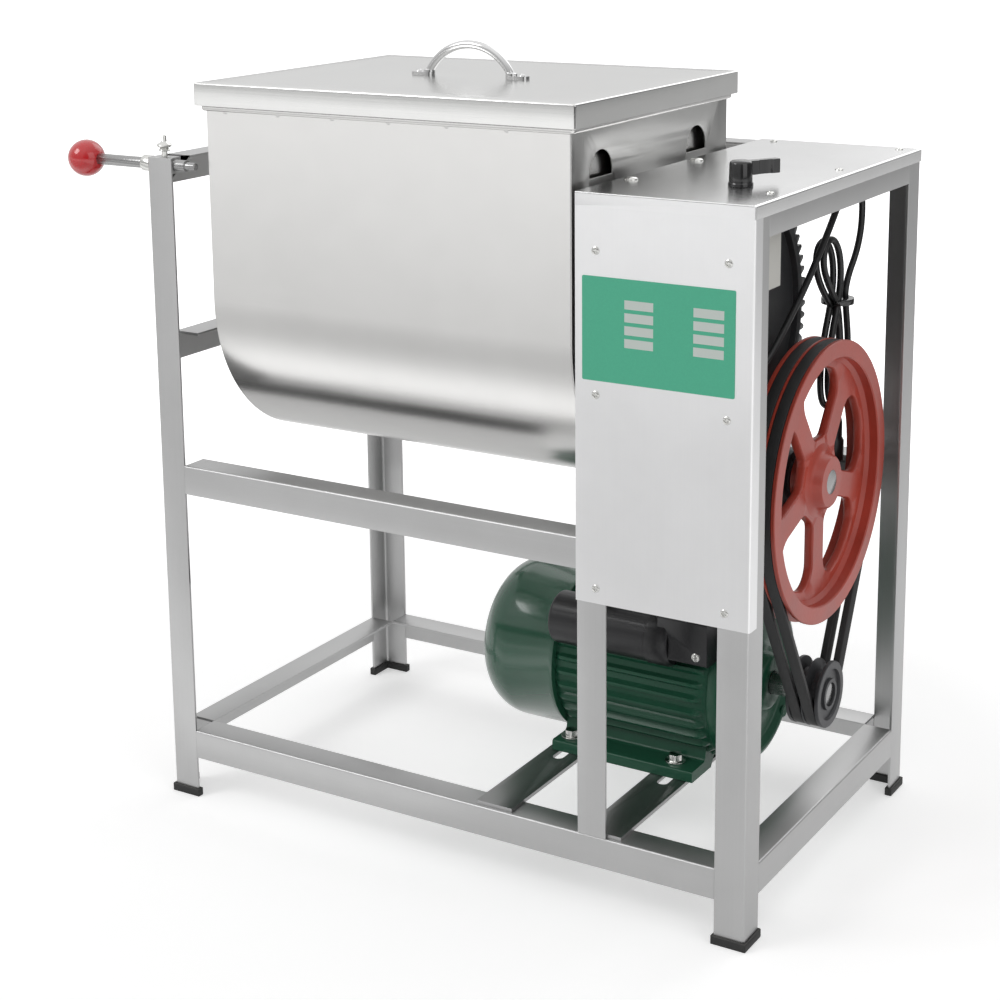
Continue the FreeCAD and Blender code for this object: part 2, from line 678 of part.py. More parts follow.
def build_agitator():
    """Mixing shaft with its Z-shaped arm."""
    left_end = 1.0
    right_end = GEAR_X + GEAR_FACE + GEAR_HUB_OUT + 2.0
    parts["mixing_shaft"] = rod_x(left_end, right_end, MAIN_Y, MAIN_Z, MAIN_R)
    x0 = BOWL_LEFT + ARM_INSET
    x1 = BOWL_RIGHT - END_GAP - 2 * BOWL_WALL - ARM_INSET
    xm = (x0 + x1) / 2.0
    lean = math.radians(35.0)
    dy = ARM_REACH * math.sin(lean)
    dz = ARM_REACH * math.cos(lean)
    up = V(0, dy, dz)
    pieces = []
    centre = V(0, MAIN_Y, MAIN_Z)
    for x, sign_a, sign_b in ((x0, 0.0, 1.0), (xm, 1.0, -1.0), (x1, -1.0, 0.0)):
        a = centre + V(x, 0, 0) + up * sign_a
        b = centre + V(x, 0, 0) + up * sign_b
        pieces.append(Part.makeCylinder(ARM_R, (b - a).Length, a, b - a))
        pieces.append(rod_x(x - MAIN_R * 1.2, x + MAIN_R * 1.2, MAIN_Y, MAIN_Z, MAIN_R + 8.0))
    for xa, xb, sign in ((x0, xm, 1.0), (xm, x1, -1.0)):
        a = centre + V(xa, 0, 0) + up * sign
        b = centre + V(xb, 0, 0) + up * sign
        pieces.append(Part.makeCylinder(ARM_R, (b - a).Length, a, b - a))
        for end in (a, b):
            pieces.append(Part.makeSphere(ARM_R, end))
    arm = joined(pieces)
    parts["mixing_arm"] = arm.cut(rod_x(left_end, right_end, MAIN_Y, MAIN_Z, MAIN_R))


def gear_blank(teeth, y, z, phase, x0, x1):
    """Toothed prism with involute flanks; a tooth is centred at angle phase."""
    pitch_r = MODULE * teeth / 2.0
    base_r = pitch_r * math.cos(PRESSURE)
    tip_r = pitch_r + ADDENDUM * MODULE
    root_r = pitch_r - 1.25 * MODULE
    half_pitch = math.pi / (2 * teeth) - BACKLASH / (4 * pitch_r)
    inv_p = math.tan(PRESSURE) - PRESSURE

    def half_angle(r):
        cos_a = min(1.0, base_r / r)
        a = math.acos(cos_a)
        return half_pitch + inv_p - (math.tan(a) - a)

    start_r = max(base_r, root_r)
    radii = [start_r + (tip_r - start_r) * k / 3.0 for k in range(4)]
    points = []
    for k in range(teeth):
        mid = phase + 2 * math.pi * k / teeth
        flank = []
        if root_r < start_r:
            flank.append((root_r, half_angle(start_r)))
        for r in radii:
            flank.append((r, half_angle(r)))
        for r, h in flank:
            points.append((y + r * math.cos(mid - h), z + r * math.sin(mid - h)))
        for r, h in reversed(flank):
            points.append((y + r * math.cos(mid + h), z + r * math.sin(mid + h)))
    return prism_x(points, x0, x1)


def build_gears():
    """Big gear on the mixing shaft and pinion on the countershaft."""
    towards = math.atan2(COUNTER_Z - MAIN_Z, COUNTER_Y - MAIN_Y)
    x0, x1 = GEAR_X, GEAR_X + GEAR_FACE
    gear = gear_blank(GEAR_TEETH, MAIN_Y, MAIN_Z, towards, x0, x1)
    rim_r = MODULE * GEAR_TEETH / 2.0 - 1.25 * MODULE - 9.0
    side = (GEAR_FACE - GEAR_WEB) / 2.0
    for a, b in ((x0 - 1, x0 + side), (x1 - side, x1 + 1)):
        dish = rod_x(a, b, MAIN_Y, MAIN_Z, rim_r).cut(rod_x(a, b, MAIN_Y, MAIN_Z, GEAR_HUB_R))
        gear = gear.cut(dish)
    hub = rod_x(x0 - GEAR_HUB_OUT, x1 + GEAR_HUB_OUT, MAIN_Y, MAIN_Z, GEAR_HUB_R)
    gear = joined([gear, hub])
    gear = gear.cut(rod_x(x0 - 30, x1 + 30, MAIN_Y, MAIN_Z, MAIN_R))
    parts["big_gear"] = gear

    phase = towards + math.pi + math.pi / PINION_TEETH
    pinion = gear_blank(PINION_TEETH, COUNTER_Y, COUNTER_Z, phase, x0, x1)
    shaft_left = COUNTER_RAIL_X[0] - 2.0
    shaft_right = PULLEY_X + PULLEY_WIDTH - 1.0
    shaft = rod_x(shaft_left, shaft_right, COUNTER_Y, COUNTER_Z, COUNTER_R)
    parts["pinion_shaft"] = joined([pinion, shaft])


def groove_profile(rim_r):
    """Outer (x, r) points of a two-groove rim, left to right."""
    points = [(PULLEY_X, rim_r)]
    half = GROOVE_TOP / 2.0
    low = half - GROOVE_DEPTH * GROOVE_SLOPE
    for x in GROOVE_X:
        points.append((x - half, rim_r))
        points.append((x - low, rim_r - GROOVE_DEPTH))
        points.append((x + low, rim_r - GROOVE_DEPTH))
        points.append((x + half, rim_r))
    points.append((PULLEY_X + PULLEY_WIDTH, rim_r))
    return points


def build_big_pulley():
    """Cast pulley: two-groove rim, dished web with five windows, and hub."""
    x0 = PULLEY_X
    x1 = PULLEY_X + PULLEY_WIDTH
    rim = turned_x(
        groove_profile(BIG_PULLEY_R) + [(x1, BIG_RIM_INNER_R), (x0, BIG_RIM_INNER_R)],
        COUNTER_Y, COUNTER_Z,
    )
    web_left = x0 + BIG_WEB_BACK
    web = turned_x(
        [
            (web_left, 0.0), (web_left, BIG_RIM_INNER_R + 1.0),
            (web_left + BIG_WEB, BIG_RIM_INNER_R + 1.0), (web_left + BIG_WEB, 0.0),
        ],
        COUNTER_Y, COUNTER_Z,
    )
    for k in range(WINDOWS):
        web = web.cut(pulley_window(90.0 + 360.0 * k / WINDOWS, web_left - 5, web_left + BIG_WEB + 5))
    hub = turned_x(
        [
            (x0 + 1.0, 0.0), (x0 + 1.0, BIG_HUB_R), (web_left, BIG_HUB_R + 4.0),
            (web_left + BIG_WEB, BIG_HUB_R + 8.0), (x1 - 3.0, BIG_HUB_R), (x1 - 1.0, BIG_HUB_R - 2.0),
            (x1 - 1.0, 0.0),
        ],
        COUNTER_Y, COUNTER_Z,
    )
    pulley = joined([rim, web, hub])
    pulley = pulley.cut(rod_x(x0 - 5, x1 + 5, COUNTER_Y, COUNTER_Z, COUNTER_R))
    parts["big_pulley"] = pulley


def pulley_window(angle, x0, x1):
    """Rounded window between two spokes, its middle at angle in degrees."""
    half = math.pi / WINDOWS
    points = []
    for r, sign in (
        (WINDOW_INNER_R, -1), (WINDOW_OUTER_R, -1), (WINDOW_OUTER_R * 1.06, 0),
        (WINDOW_OUTER_R, 1), (WINDOW_INNER_R, 1),
    ):
        spread = sign * (half - math.asin(SPOKE_HALF / r))
        a = math.radians(angle) + spread
        if sign == 0:
            r = WINDOW_OUTER_R
        points.append(V(x0, COUNTER_Y + r * math.cos(a), COUNTER_Z + r * math.sin(a)))
    edges = [
        Part.LineSegment(points[0], points[1]).toShape(),
        Part.Arc(points[1], points[2], points[3]).toShape(),
        Part.LineSegment(points[3], points[4]).toShape(),
        Part.LineSegment(points[4], points[0]).toShape(),
    ]
    window = Part.Face(Part.Wire(edges)).extrude(V(x1 - x0, 0, 0))
    long_edges = edges_along(window, V(1, 0, 0))
    outer = []
    inner = []
    for edge in long_edges:
        p = edge.Vertexes[0].Point
        r = math.hypot(p.y - COUNTER_Y, p.z - COUNTER_Z)
        if r > (WINDOW_INNER_R + WINDOW_OUTER_R) / 2:
            outer.append(edge)
        else:
            inner.append(edge)
    window = window.makeFillet(WINDOW_FILLET, outer)
    inner = []
    for edge in edges_along(window, V(1, 0, 0)):
        p = edge.Vertexes[0].Point
        if math.hypot(p.y - COUNTER_Y, p.z - COUNTER_Z) < WINDOW_INNER_R + 0.01:
            inner.append(edge)
    return window.makeFillet(WINDOW_FILLET * 0.6, inner)


def build_small_pulley():
    """Dark two-groove pulley on the motor shaft."""
    x0 = PULLEY_X
    x1 = PULLEY_X + PULLEY_WIDTH
    outline = groove_profile(SMALL_PULLEY_R) + [
        (x1, SMALL_PULLEY_R - 8.0), (x1 - 3.0, SMALL_PULLEY_R - 9.0),
        (x1 - 3.0, MOTOR_SHAFT_R + 5.0), (x1, MOTOR_SHAFT_R + 4.5),
        (x1, MOTOR_SHAFT_R), (x0, MOTOR_SHAFT_R),
    ]
    parts["small_pulley"] = turned_x(outline, MOTOR_Y, MOTOR_Z)
    shaft_left = BELL_RIGHT - 8.0
    parts["motor_shaft"] = rod_x(shaft_left, x1 - 2.0, MOTOR_Y, MOTOR_Z, MOTOR_SHAFT_R)


def belt_loop(x, big_r, small_r):
    """Closed belt line at plane x round both pulleys, as (edges, corner points)."""
    c1 = V(x, COUNTER_Y, COUNTER_Z)
    c2 = V(x, MOTOR_Y, MOTOR_Z)
    line = c2 - c1
    gap = line.Length
    u = V(line)
    u.normalize()
    w = V(1, 0, 0).cross(u)
    spread = math.acos((big_r - small_r) / gap)
    ca, sa = math.cos(spread), math.sin(spread)
    n1 = u * ca + w * sa
    n2 = u * ca - w * sa
    a1, a2 = c1 + n1 * big_r, c1 + n2 * big_r
    b1, b2 = c2 + n1 * small_r, c2 + n2 * small_r
    edges = [
        Part.LineSegment(a1, b1).toShape(),
        Part.Arc(b1, c2 + u * small_r, b2).toShape(),
        Part.LineSegment(b2, a2).toShape(),
        Part.Arc(a2, c1 - u * big_r, a1).toShape(),
    ]
    return edges, a1, n1


def build_belts():
    """Two V belts that run clear of the grooves by the named clearance."""
    side_gap = BELT_CLEAR / math.cos(math.atan(GROOVE_SLOPE))
    top_half = GROOVE_TOP / 2.0 - BELT_SINK * GROOVE_SLOPE - side_gap
    low_half = top_half - BELT_HEIGHT * GROOVE_SLOPE
    belts = []
    for x in GROOVE_X:
        edges, a1, n1 = belt_loop(x, BIG_PULLEY_R - BELT_SINK, SMALL_PULLEY_R - BELT_SINK)
        path = Part.Wire(edges)
        section = Part.makePolygon([
            a1 + V(-top_half, 0, 0), a1 + V(top_half, 0, 0),
            a1 + V(low_half, 0, 0) - n1 * BELT_HEIGHT,
            a1 + V(-low_half, 0, 0) - n1 * BELT_HEIGHT,
            a1 + V(-top_half, 0, 0),
        ])
        belts.append(path.makePipeShell([section], True, True))
    parts["drive_belts"] = group(belts)


def fan_cover_line(inset):
    """Bowed end of the fan cover as (x, r) points, set in by inset."""
    points = [(FAN_COVER_LEFT + inset, 0.0)]
    radius = FAN_COVER_R - inset
    depth = FAN_COVER_DOME - inset
    for k in range(7):
        a = math.radians(90.0 * k / 6.0)
        x = FAN_COVER_LEFT + inset + depth * (1 - math.cos(a))
        points.append((x, radius * (0.52 + 0.48 * math.sin(a))))
    return points


def build_motor():
    """Finned foot motor with fan cover, end bell and capacitor cover."""
    x0, x1 = MOTOR_BODY
    points = []
    step = 2 * math.pi / MOTOR_FINS
    for k in range(MOTOR_FINS):
        a = k * step
        for r, off in (
            (MOTOR_CORE_R, -0.5), (MOTOR_CORE_R, -0.26), (MOTOR_FIN_R, -0.17), (MOTOR_FIN_R, 0.17),
            (MOTOR_CORE_R, 0.26),
        ):
            t = a + off * step
            points.append((MOTOR_Y + r * math.cos(t), MOTOR_Z + r * math.sin(t)))
    fins = prism_x(points, x0 + 2.0, x1 - 4.0)
    core = rod_x(x0, x1, MOTOR_Y, MOTOR_Z, MOTOR_CORE_R)
    base = BOTTOM_RAIL_TOP + MOTOR_RAIL_THICK
    feet = []
    for side in (-1, 1):
        y = MOTOR_Y + side * FOOT_HALF_WIDTH
        foot = [
            (y, base), (y, base + FOOT_THICK - 2.0), (y - side * 2.0, base + FOOT_THICK),
            (y - side * 31.0, base + FOOT_THICK), (y - side * 36.0, base + 44.0),
            (y - side * 58.0, base + 32.0), (y - side * 54.0, base + 12.0), (y - side * 46.0, base),
        ]
        feet.append(prism_x(foot, x0, FOOT_RIGHT))
    flange = turned_x(
        [
            (x1 - 6.0, 0.0), (x1 - 6.0, BELL_R - 2.0), (x1 + 6.0, BELL_R), (BELL_RIGHT - 4.0, BELL_R),
            (BELL_RIGHT, BELL_R - 4.0), (BELL_RIGHT, BELL_R - 12.0), (BELL_RIGHT - 6.0, BELL_R - 20.0),
            (BELL_RIGHT - 6.0, BELL_BOSS_R + 8.0), (BELL_RIGHT, BELL_BOSS_R),
            (BELL_RIGHT + BELL_BOSS_OUT, BELL_BOSS_R - 3.0), (BELL_RIGHT + BELL_BOSS_OUT, 0.0),
        ],
        MOTOR_Y, MOTOR_Z,
    )
    body = joined([core, fins] + feet + [flange])
    body = body.cut(
        rod_x(BELL_RIGHT - 8.0, BELL_RIGHT + 40.0, MOTOR_Y, MOTOR_Z, MOTOR_SHAFT_R + RUNNING_FIT)
    )
    body = body.cut(rod_x(x0 - 1.0, x1 - MOTOR_END_WALL, MOTOR_Y, MOTOR_Z, MOTOR_BORE_R))
    parts["motor_body"] = body

    outer = fan_cover_line(0.0)
    inner = fan_cover_line(FAN_COVER_WALL)
    lip_r = FAN_COVER_R - FAN_COVER_LIP
    lip = [
        (x0, FAN_COVER_R), (x0, lip_r), (x0 - FAN_COVER_WALL, lip_r),
        (x0 - FAN_COVER_WALL, FAN_COVER_R - FAN_COVER_WALL),
    ]
    parts["fan_cover"] = turned_x(outer + lip + inner[::-1], MOTOR_Y, MOTOR_Z)

    cy = MOTOR_Y - CAP_Y_OUT
    cz = MOTOR_Z + CAP_Z_UP
    cap = rod_x(CAP_X[0], CAP_X[1], cy, cz, CAP_R)
    ends = []
    for edge in cap.Edges:
        if edge.Curve.TypeId == "Part::GeomCircle":
            ends.append(edge)
    cap = cap.makeFillet(4.0, ends)
    terminal = box(CAP_X[1] - 12.0, TERMINAL_X, cy - CAP_R + 6.0, cy + CAP_R + 4.0, cz - 16.0, cz + CAP_R + 4.0)
    terminal = terminal.makeFillet(4.0, edges_along(terminal, V(1, 0, 0)))
    cover = joined([cap, terminal])
    cover = cover.cut(rod_x(x0 - 5, BELL_RIGHT, MOTOR_Y, MOTOR_Z, BELL_R))
    parts["capacitor_cover"] = cover

    bolts = []
    for x in MOTOR_BOLT_X:
        for side in (-1, 1):
            bolts.append(hex_bolt(x, MOTOR_Y + side * MOTOR_BOLT_OUT, base + FOOT_THICK, 13.0))
    parts["motor_bolts"] = group(bolts)


def build_switch():
    """Drum switch under the top plate and its lever knob."""
    x = sum(SWITCH_X) / 2.0
    y = sum(SWITCH_Y) / 2.0
    body = box(SWITCH_X[0], SWITCH_X[1], SWITCH_Y[0], SWITCH_Y[1], SWITCH_BOTTOM, FRAME_HEIGHT)
    body = body.makeFillet(3.0, edges_along(body, V(0, 0, 1)))
    depth = 14.0
    bore = rod_z(x, y, FRAME_HEIGHT - depth, FRAME_HEIGHT + 1, SPINDLE_R + RUNNING_FIT)
    parts["switch_body"] = body.cut(bore)

    base = FRAME_HEIGHT + SHEET + KNOB_GAP
    top = base + KNOB_H
    hub = turned_z(
        [(0.0, base), (KNOB_R, base), (KNOB_R - 0.6, top - 1.5), (KNOB_R - 2.0, top), (0.0, top)], x, y
    )
    lever = box(0.0, LEVER_LENGTH, -LEVER_WIDTH / 2, LEVER_WIDTH / 2, top - LEVER_H, top - 0.5)
    waist = box(KNOB_R + 4.0, LEVER_LENGTH - 9.0, -20, -LEVER_WIDTH / 2 + 1.2, top - LEVER_H - 1, top + 1)
    lever = lever.cut(waist)
    lever.rotate(V(0, 0, 0), V(0, 0, 1), LEVER_ANGLE)
    lever.translate(V(x, y, 0))
    spindle = rod_z(x, y, FRAME_HEIGHT - depth + 1.0, base + 2.0, SPINDLE_R)
    parts["switch_knob"] = joined([hub, lever, spindle])


def build_latch():
    """Guide block and collar, sliding rod with its ball, and clamp screw."""
    bore = rod_x(-COLLAR_OUT - 5, ANGLE + 5, ROD_Y, ROD_Z, ROD_R + RUNNING_FIT)
    block = box(
        ANGLE_WALL, ANGLE_WALL + BLOCK_SIZE, ANGLE_WALL, ROD_Y + ROD_R + 4.0,
        FRAME_HEIGHT - BLOCK_H, FRAME_HEIGHT,
    )
    collar = rod_x(-COLLAR_OUT, 0.0, ROD_Y, ROD_Z, COLLAR_R)
    clamp_hole = rod_z(CLAMP_X, ROD_Y, ROD_Z + ROD_R, FRAME_HEIGHT + 1, CLAMP_R + RUNNING_FIT)
    parts["latch_block"] = block.cut(bore).cut(clamp_hole)
    parts["latch_collar"] = collar.cut(bore)

    start = BALL_X + BALL_R * 0.6
    shank = rod_x(start, ROD_TIP_X - ROD_TIP, ROD_Y, ROD_Z, ROD_R)
    tip = rod_x(ROD_TIP_X - ROD_TIP, ROD_TIP_X, ROD_Y, ROD_Z, ROD_TIP_R)
    parts["latch_rod"] = joined([shank, tip])
    ball = Part.makeSphere(BALL_R, V(BALL_X, ROD_Y, ROD_Z), V(1, 0, 0))
    parts["latch_ball"] = ball.cut(rod_x(start, BALL_X + BALL_R + 1, ROD_Y, ROD_Z, ROD_R))

    top = FRAME_HEIGHT
    low = ROD_Z + ROD_R + 0.3
    parts["clamp_screw"] = turned_z(
        [
            (0.0, low), (CLAMP_R, low), (CLAMP_R, top + 7.0), (6.0, top + 8.5), (8.0, top + 11.0),
            (8.0, top + 14.0), (6.0, top + 16.5), (CLAMP_R, top + 17.5), (CLAMP_R, top + 23.0), (0.0, top + 23.0),
        ],
        CLAMP_X, ROD_Y,
    )


def from_corner(left, y, down):
    """Point given by its distances from the frame's right end and top."""
    return (FRAME_LENGTH - left, y, FRAME_HEIGHT - down)


def cable(name, points, radius):
    """Tube along straight runs joined by tangent arcs."""
    pts = [V(*p) for p in points]
    bends = []
    edges = []
    cursor = pts[0]
    for k in range(1, len(pts) - 1):
        a = pts[k - 1] - pts[k]
        b = pts[k + 1] - pts[k]
        reach = 0.45 * min(a.Length, b.Length)
        a.normalize()
        b.normalize()
        p = pts[k] + a * reach
        q = pts[k] + b * reach
        turn = math.pi - a.getAngle(b)
        bend = reach / math.tan(turn / 2.0)
        bends.append(round(bend, 1))
        middle = a + b
        middle.normalize()
        centre = pts[k] + middle * math.hypot(bend, reach)
        edges.append(Part.LineSegment(cursor, p).toShape())
        edges.append(Part.Arc(p, centre - middle * bend, q).toShape())
        cursor = q
    edges.append(Part.LineSegment(cursor, pts[-1]).toShape())
    cord_bends[name] = bends
    path = Part.Wire(edges)
    ring = Part.Wire([Part.makeCircle(radius, pts[0], pts[1] - pts[0])])
    return path.makePipeShell([ring], True, True)


def ring_tube(name, points, radius):
    """Closed tube round points, with a tangent arc at every point."""
    pts = [V(*p) for p in points]
    n = len(pts)
    bends = []
    starts = []
    arcs = []
    for k in range(n):
        a = pts[k - 1] - pts[k]
        b = pts[(k + 1) % n] - pts[k]
        reach = 0.45 * min(a.Length, b.Length)
        a.normalize()
        b.normalize()
        turn = math.pi - a.getAngle(b)
        bend = reach / math.tan(turn / 2.0)
        bends.append(round(bend, 1))
        middle = a + b
        middle.normalize()
        centre = pts[k] + middle * math.hypot(bend, reach)
        p = pts[k] + a * reach
        q = pts[k] + b * reach
        arcs.append((p, centre - middle * bend, q))
        starts.append((p, q))
    edges = []
    for k in range(n):
        edges.append(Part.Arc(*arcs[k]).toShape())
        edges.append(Part.LineSegment(starts[k][1], starts[(k + 1) % n][0]).toShape())
    cord_bends[name] = bends
    path = Part.Wire(edges)
    p, m, q = arcs[0]
    tangent = starts[0][0] - pts[-1]
    ring = Part.Wire([Part.makeCircle(radius, p, tangent)])
    return path.makePipeShell([ring], True, True)


def build_cables():
    """Supply lead with its hank and plug, and the motor lead."""
    back = FRAME_DEPTH
    supply = cable(
        "supply_lead",
        [
            from_corner(55.0, 104.0, SWITCH_HEIGHT), from_corner(55.0, 104.0, 128.0),
            from_corner(54.0, 108.0, 164.0), from_corner(52.0, 134.0, 186.0),
            from_corner(52.0, 190.0, 154.0), from_corner(52.0, back - 177.0, 119.0),
            from_corner(52.0, back - 124.0, 75.0), from_corner(52.0, back - 84.0, 36.0),
            from_corner(52.0, back - 50.0, 20.0), from_corner(52.0, back - 27.0, 48.0),
            from_corner(52.0, back - 32.0, 98.0), from_corner(60.0, back - 54.0, 142.0),
        ],
        CABLE_R,
    )
    parts["supply_lead"] = supply
    hank_in = 64.0
    lower = ring_tube(
        "lower hank",
        [
            from_corner(hank_in, back - 54.0, 154.0), from_corner(hank_in, back - 41.0, 190.0),
            from_corner(hank_in, back - 42.0, 240.0), from_corner(hank_in, back - 68.0, 270.0),
            from_corner(hank_in, back - 95.0, 255.0), from_corner(hank_in, back - 90.0, 205.0),
            from_corner(hank_in, back - 70.0, 160.0),
        ],
        HANK_R,
    )
    upper = ring_tube(
        "upper hank",
        [
            from_corner(hank_in, back - 54.0, 158.0), from_corner(hank_in, back - 65.0, 120.0),
            from_corner(hank_in, back - 94.0, 86.0), from_corner(hank_in, back - 114.0, 96.0),
            from_corner(hank_in, back - 98.0, 130.0), from_corner(hank_in, back - 72.0, 160.0),
        ],
        HANK_R,
    )
    parts["lead_hank"] = joined([lower, upper]).cut(supply)
    tie_x, tie_y, tie_top = from_corner(hank_in, back - 62.0, 154.0)
    tie = rod_z(tie_x, tie_y, tie_top - TIE_WIDTH, tie_top, TIE_R)
    parts["cable_tie"] = tie.cut(parts["lead_hank"]).cut(parts["supply_lead"])
    plug_x, plug_y, low = from_corner(hank_in, back - 64.0, 332.0)
    plug = turned_z(
        [
            (0.0, low), (PLUG_R, low), (PLUG_R, low + 22.0), (PLUG_R - 2.0, low + 26.0),
            (PLUG_R - 2.0, low + 42.0), (PLUG_R - 5.0, low + 55.0),
            (PLUG_R - 5.0, low + PLUG_LENGTH), (0.0, low + PLUG_LENGTH),
        ],
        plug_x, plug_y,
    )
    parts["lead_plug"] = plug.cut(parts["lead_hank"])
    cap_z = MOTOR_Z + CAP_Z_UP + CAP_R
    cap_y = MOTOR_Y - CAP_Y_OUT
    cap_x = CAP_X[0] + LEAD_IN
    parts["motor_lead"] = cable(
        "motor_lead",
        [
            (cap_x, cap_y, cap_z), (cap_x, cap_y, cap_z + 27.0),
            from_corner(269.0, cap_y - 1.0, 419.0), from_corner(296.0, cap_y - 13.0, 411.0),
            from_corner(298.0, 119.0, 401.0), from_corner(272.0, 101.0, 392.0),
            from_corner(238.0, 103.0, 382.0), from_corner(204.0, 105.0, 362.0),
            from_corner(170.0, 98.0, 336.0), from_corner(124.0, 78.0, 310.0),
            from_corner(88.0, 56.0, 268.0), from_corner(66.0, 50.0, 212.0),
            from_corner(58.0, 62.0, 158.0), from_corner(57.0, 75.0, 128.0),
            from_corner(57.0, 75.0, SWITCH_HEIGHT),
        ],
        CABLE_R,
    )


def main():
    """Build every node, centre the object and write the STEP files."""
    build_frame()
    build_motor_rails()
    build_covers()
    build_screws()
    build_bearings()
    build_bowl()
    build_lid()
    build_agitator()
    build_gears()
    build_big_pulley()
    build_small_pulley()
    build_belts()
    build_motor()
    build_switch()
    build_latch()
    build_cables()
    os.makedirs("parts", exist_ok=True)
    for name, shape in parts.items():
        moved = shape.copy()
        moved.translate(V(-ORIGIN_X, -ORIGIN_Y, 0.0))
        moved.exportStep("parts/" + name + ".step")
    print("nodes", len(parts))
    for name, bends in cord_bends.items():
        print("bend radii of", name, bends)


main()
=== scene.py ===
"""Looks of a tilting bowl dough mixer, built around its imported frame.

Sizes are in working millimetres: X runs from the outer face of the left posts,
Y from the outer face of the front posts and Z up from the floor. Every mesh is
moved into the frame's metres when it is made.
"""

import logging
import math
from collections.abc import Callable
from dataclasses import dataclass
from enum import Enum

import bmesh
import bpy
import numpy as np
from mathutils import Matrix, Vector


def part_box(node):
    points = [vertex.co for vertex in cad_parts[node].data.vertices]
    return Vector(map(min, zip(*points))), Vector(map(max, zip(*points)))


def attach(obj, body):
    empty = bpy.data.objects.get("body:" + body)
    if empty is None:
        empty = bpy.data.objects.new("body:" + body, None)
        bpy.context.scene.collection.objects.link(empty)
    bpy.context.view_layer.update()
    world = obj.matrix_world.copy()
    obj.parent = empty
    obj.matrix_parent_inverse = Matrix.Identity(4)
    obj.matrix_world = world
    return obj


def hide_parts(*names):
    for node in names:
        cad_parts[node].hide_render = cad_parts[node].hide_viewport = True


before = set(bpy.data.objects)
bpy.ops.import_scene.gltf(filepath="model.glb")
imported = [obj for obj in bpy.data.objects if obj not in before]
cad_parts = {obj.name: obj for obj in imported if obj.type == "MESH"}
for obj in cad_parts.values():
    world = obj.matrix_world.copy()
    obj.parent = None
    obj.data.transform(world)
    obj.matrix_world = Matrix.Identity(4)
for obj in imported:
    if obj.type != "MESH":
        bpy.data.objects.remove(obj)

LOG = logging.getLogger("dough_mixer")
MM = 0.001
MERGE = 2e-6
TINY = 1e-9
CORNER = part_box("post_front_left")[0]
SHIFT = np.array([CORNER.x, CORNER.y, 0.0])
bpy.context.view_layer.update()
Colour = tuple[float, float, float]
Array = np.ndarray


class Axis(Enum):
    """A direction of the frame, with its place in a point."""

    X = 0
    Y = 1
    Z = 2


def placed(points: Array) -> Array:
    """Points in working millimetres, moved into the frame's metres."""
    return np.asarray(points, float) * MM + SHIFT


def span(node: str) -> tuple[Array, Array]:
    """Lowest and highest corner of a frame node, in working millimetres."""
    low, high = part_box(node)
    return (np.array(low) - SHIFT) / MM, (np.array(high) - SHIFT) / MM


# Outlines and surfaces


def arc(start: float, end: float, count: int) -> Array:
    """Evenly spaced angles in radians, from degrees."""
    return np.radians(np.linspace(start, end, count))


def whole_turn(count: int) -> Array:
    """Evenly spaced angles round a full turn, in radians."""
    return np.linspace(0, 2 * math.pi, count, endpoint=False)


def polar(angle: Array, radius: float | Array = 1.0) -> Array:
    """Plane points at angles and radii about the origin."""
    return np.stack([radius * np.cos(angle), radius * np.sin(angle)], -1)


def rotated(points: Array, turn: float) -> Array:
    """Plane points turned about the origin by an angle in radians."""
    c, s = math.cos(turn), math.sin(turn)
    return points @ np.array([(c, s), (-s, c)])


def unit(vectors: Array) -> Array:
    """Vectors brought to length 1."""
    return vectors / np.maximum(np.linalg.norm(vectors, axis=-1, keepdims=True), TINY)


def moved(profile: tuple, start: float) -> Array:
    """A profile of places and radii, its places counted from a start."""
    return np.array(profile, float) + (start, 0)


def rounded(corners: Array, radii: float | Array, steps: int = 5) -> Array:
    """A closed outline whose corners are turned into arcs.

    Each corner's arc touches both sides at radius / tan(half the inner angle)
    from the corner, and its points are spread evenly over the turn.

    Args:
        corners: (n, 2) corner points in order.
        radii: radius of each corner, or one radius for all.
        steps: points on each arc, less one.

    Returns:
        (n * (steps + 1), 2) outline points.
    """
    corners = np.asarray(corners, float)
    radii = np.broadcast_to(np.asarray(radii, float), len(corners))[:, None]
    back = unit(np.roll(corners, 1, axis=0) - corners)
    ahead = unit(np.roll(corners, -1, axis=0) - corners)
    half = np.arccos(np.clip((back * ahead).sum(1), -1, 1))[:, None] / 2
    centre = corners + unit(back + ahead) * radii / np.sin(half)
    touch = radii / np.tan(half)
    start = (corners + back * touch - centre)[:, None]
    end = (corners + ahead * touch - centre)[:, None]
    share = np.linspace(0, 1, steps + 1)[None, :, None]
    turn = (math.pi - 2 * half)[:, None]
    swing = (np.sin((1 - share) * turn) * start + np.sin(share * turn) * end) / np.sin(turn)
    return (centre[:, None] + swing).reshape(-1, 2)


def four_corners(low: Array, high: Array, inset: float = 0.0) -> Array:
    """Corners of a rectangle in a plane, drawn in by an inset."""
    (x0, y0), (x1, y1) = np.asarray(low)[:2] + inset, np.asarray(high)[:2] - inset
    return np.array([(x0, y0), (x1, y0), (x1, y1), (x0, y1)])


def lifted(outline: Array, along: float | Array, axis: Axis) -> Array:
    """Plane points given a third coordinate.

    Args:
        outline: (..., 2) points in the plane across the axis.
        along: place on the axis, one value or one for each point.
        axis: the axis.

    Returns:
        (..., 3) points.
    """
    along = np.broadcast_to(np.asarray(along, float), outline.shape[:-1])
    return np.insert(outline, axis.value, along, axis=-1)


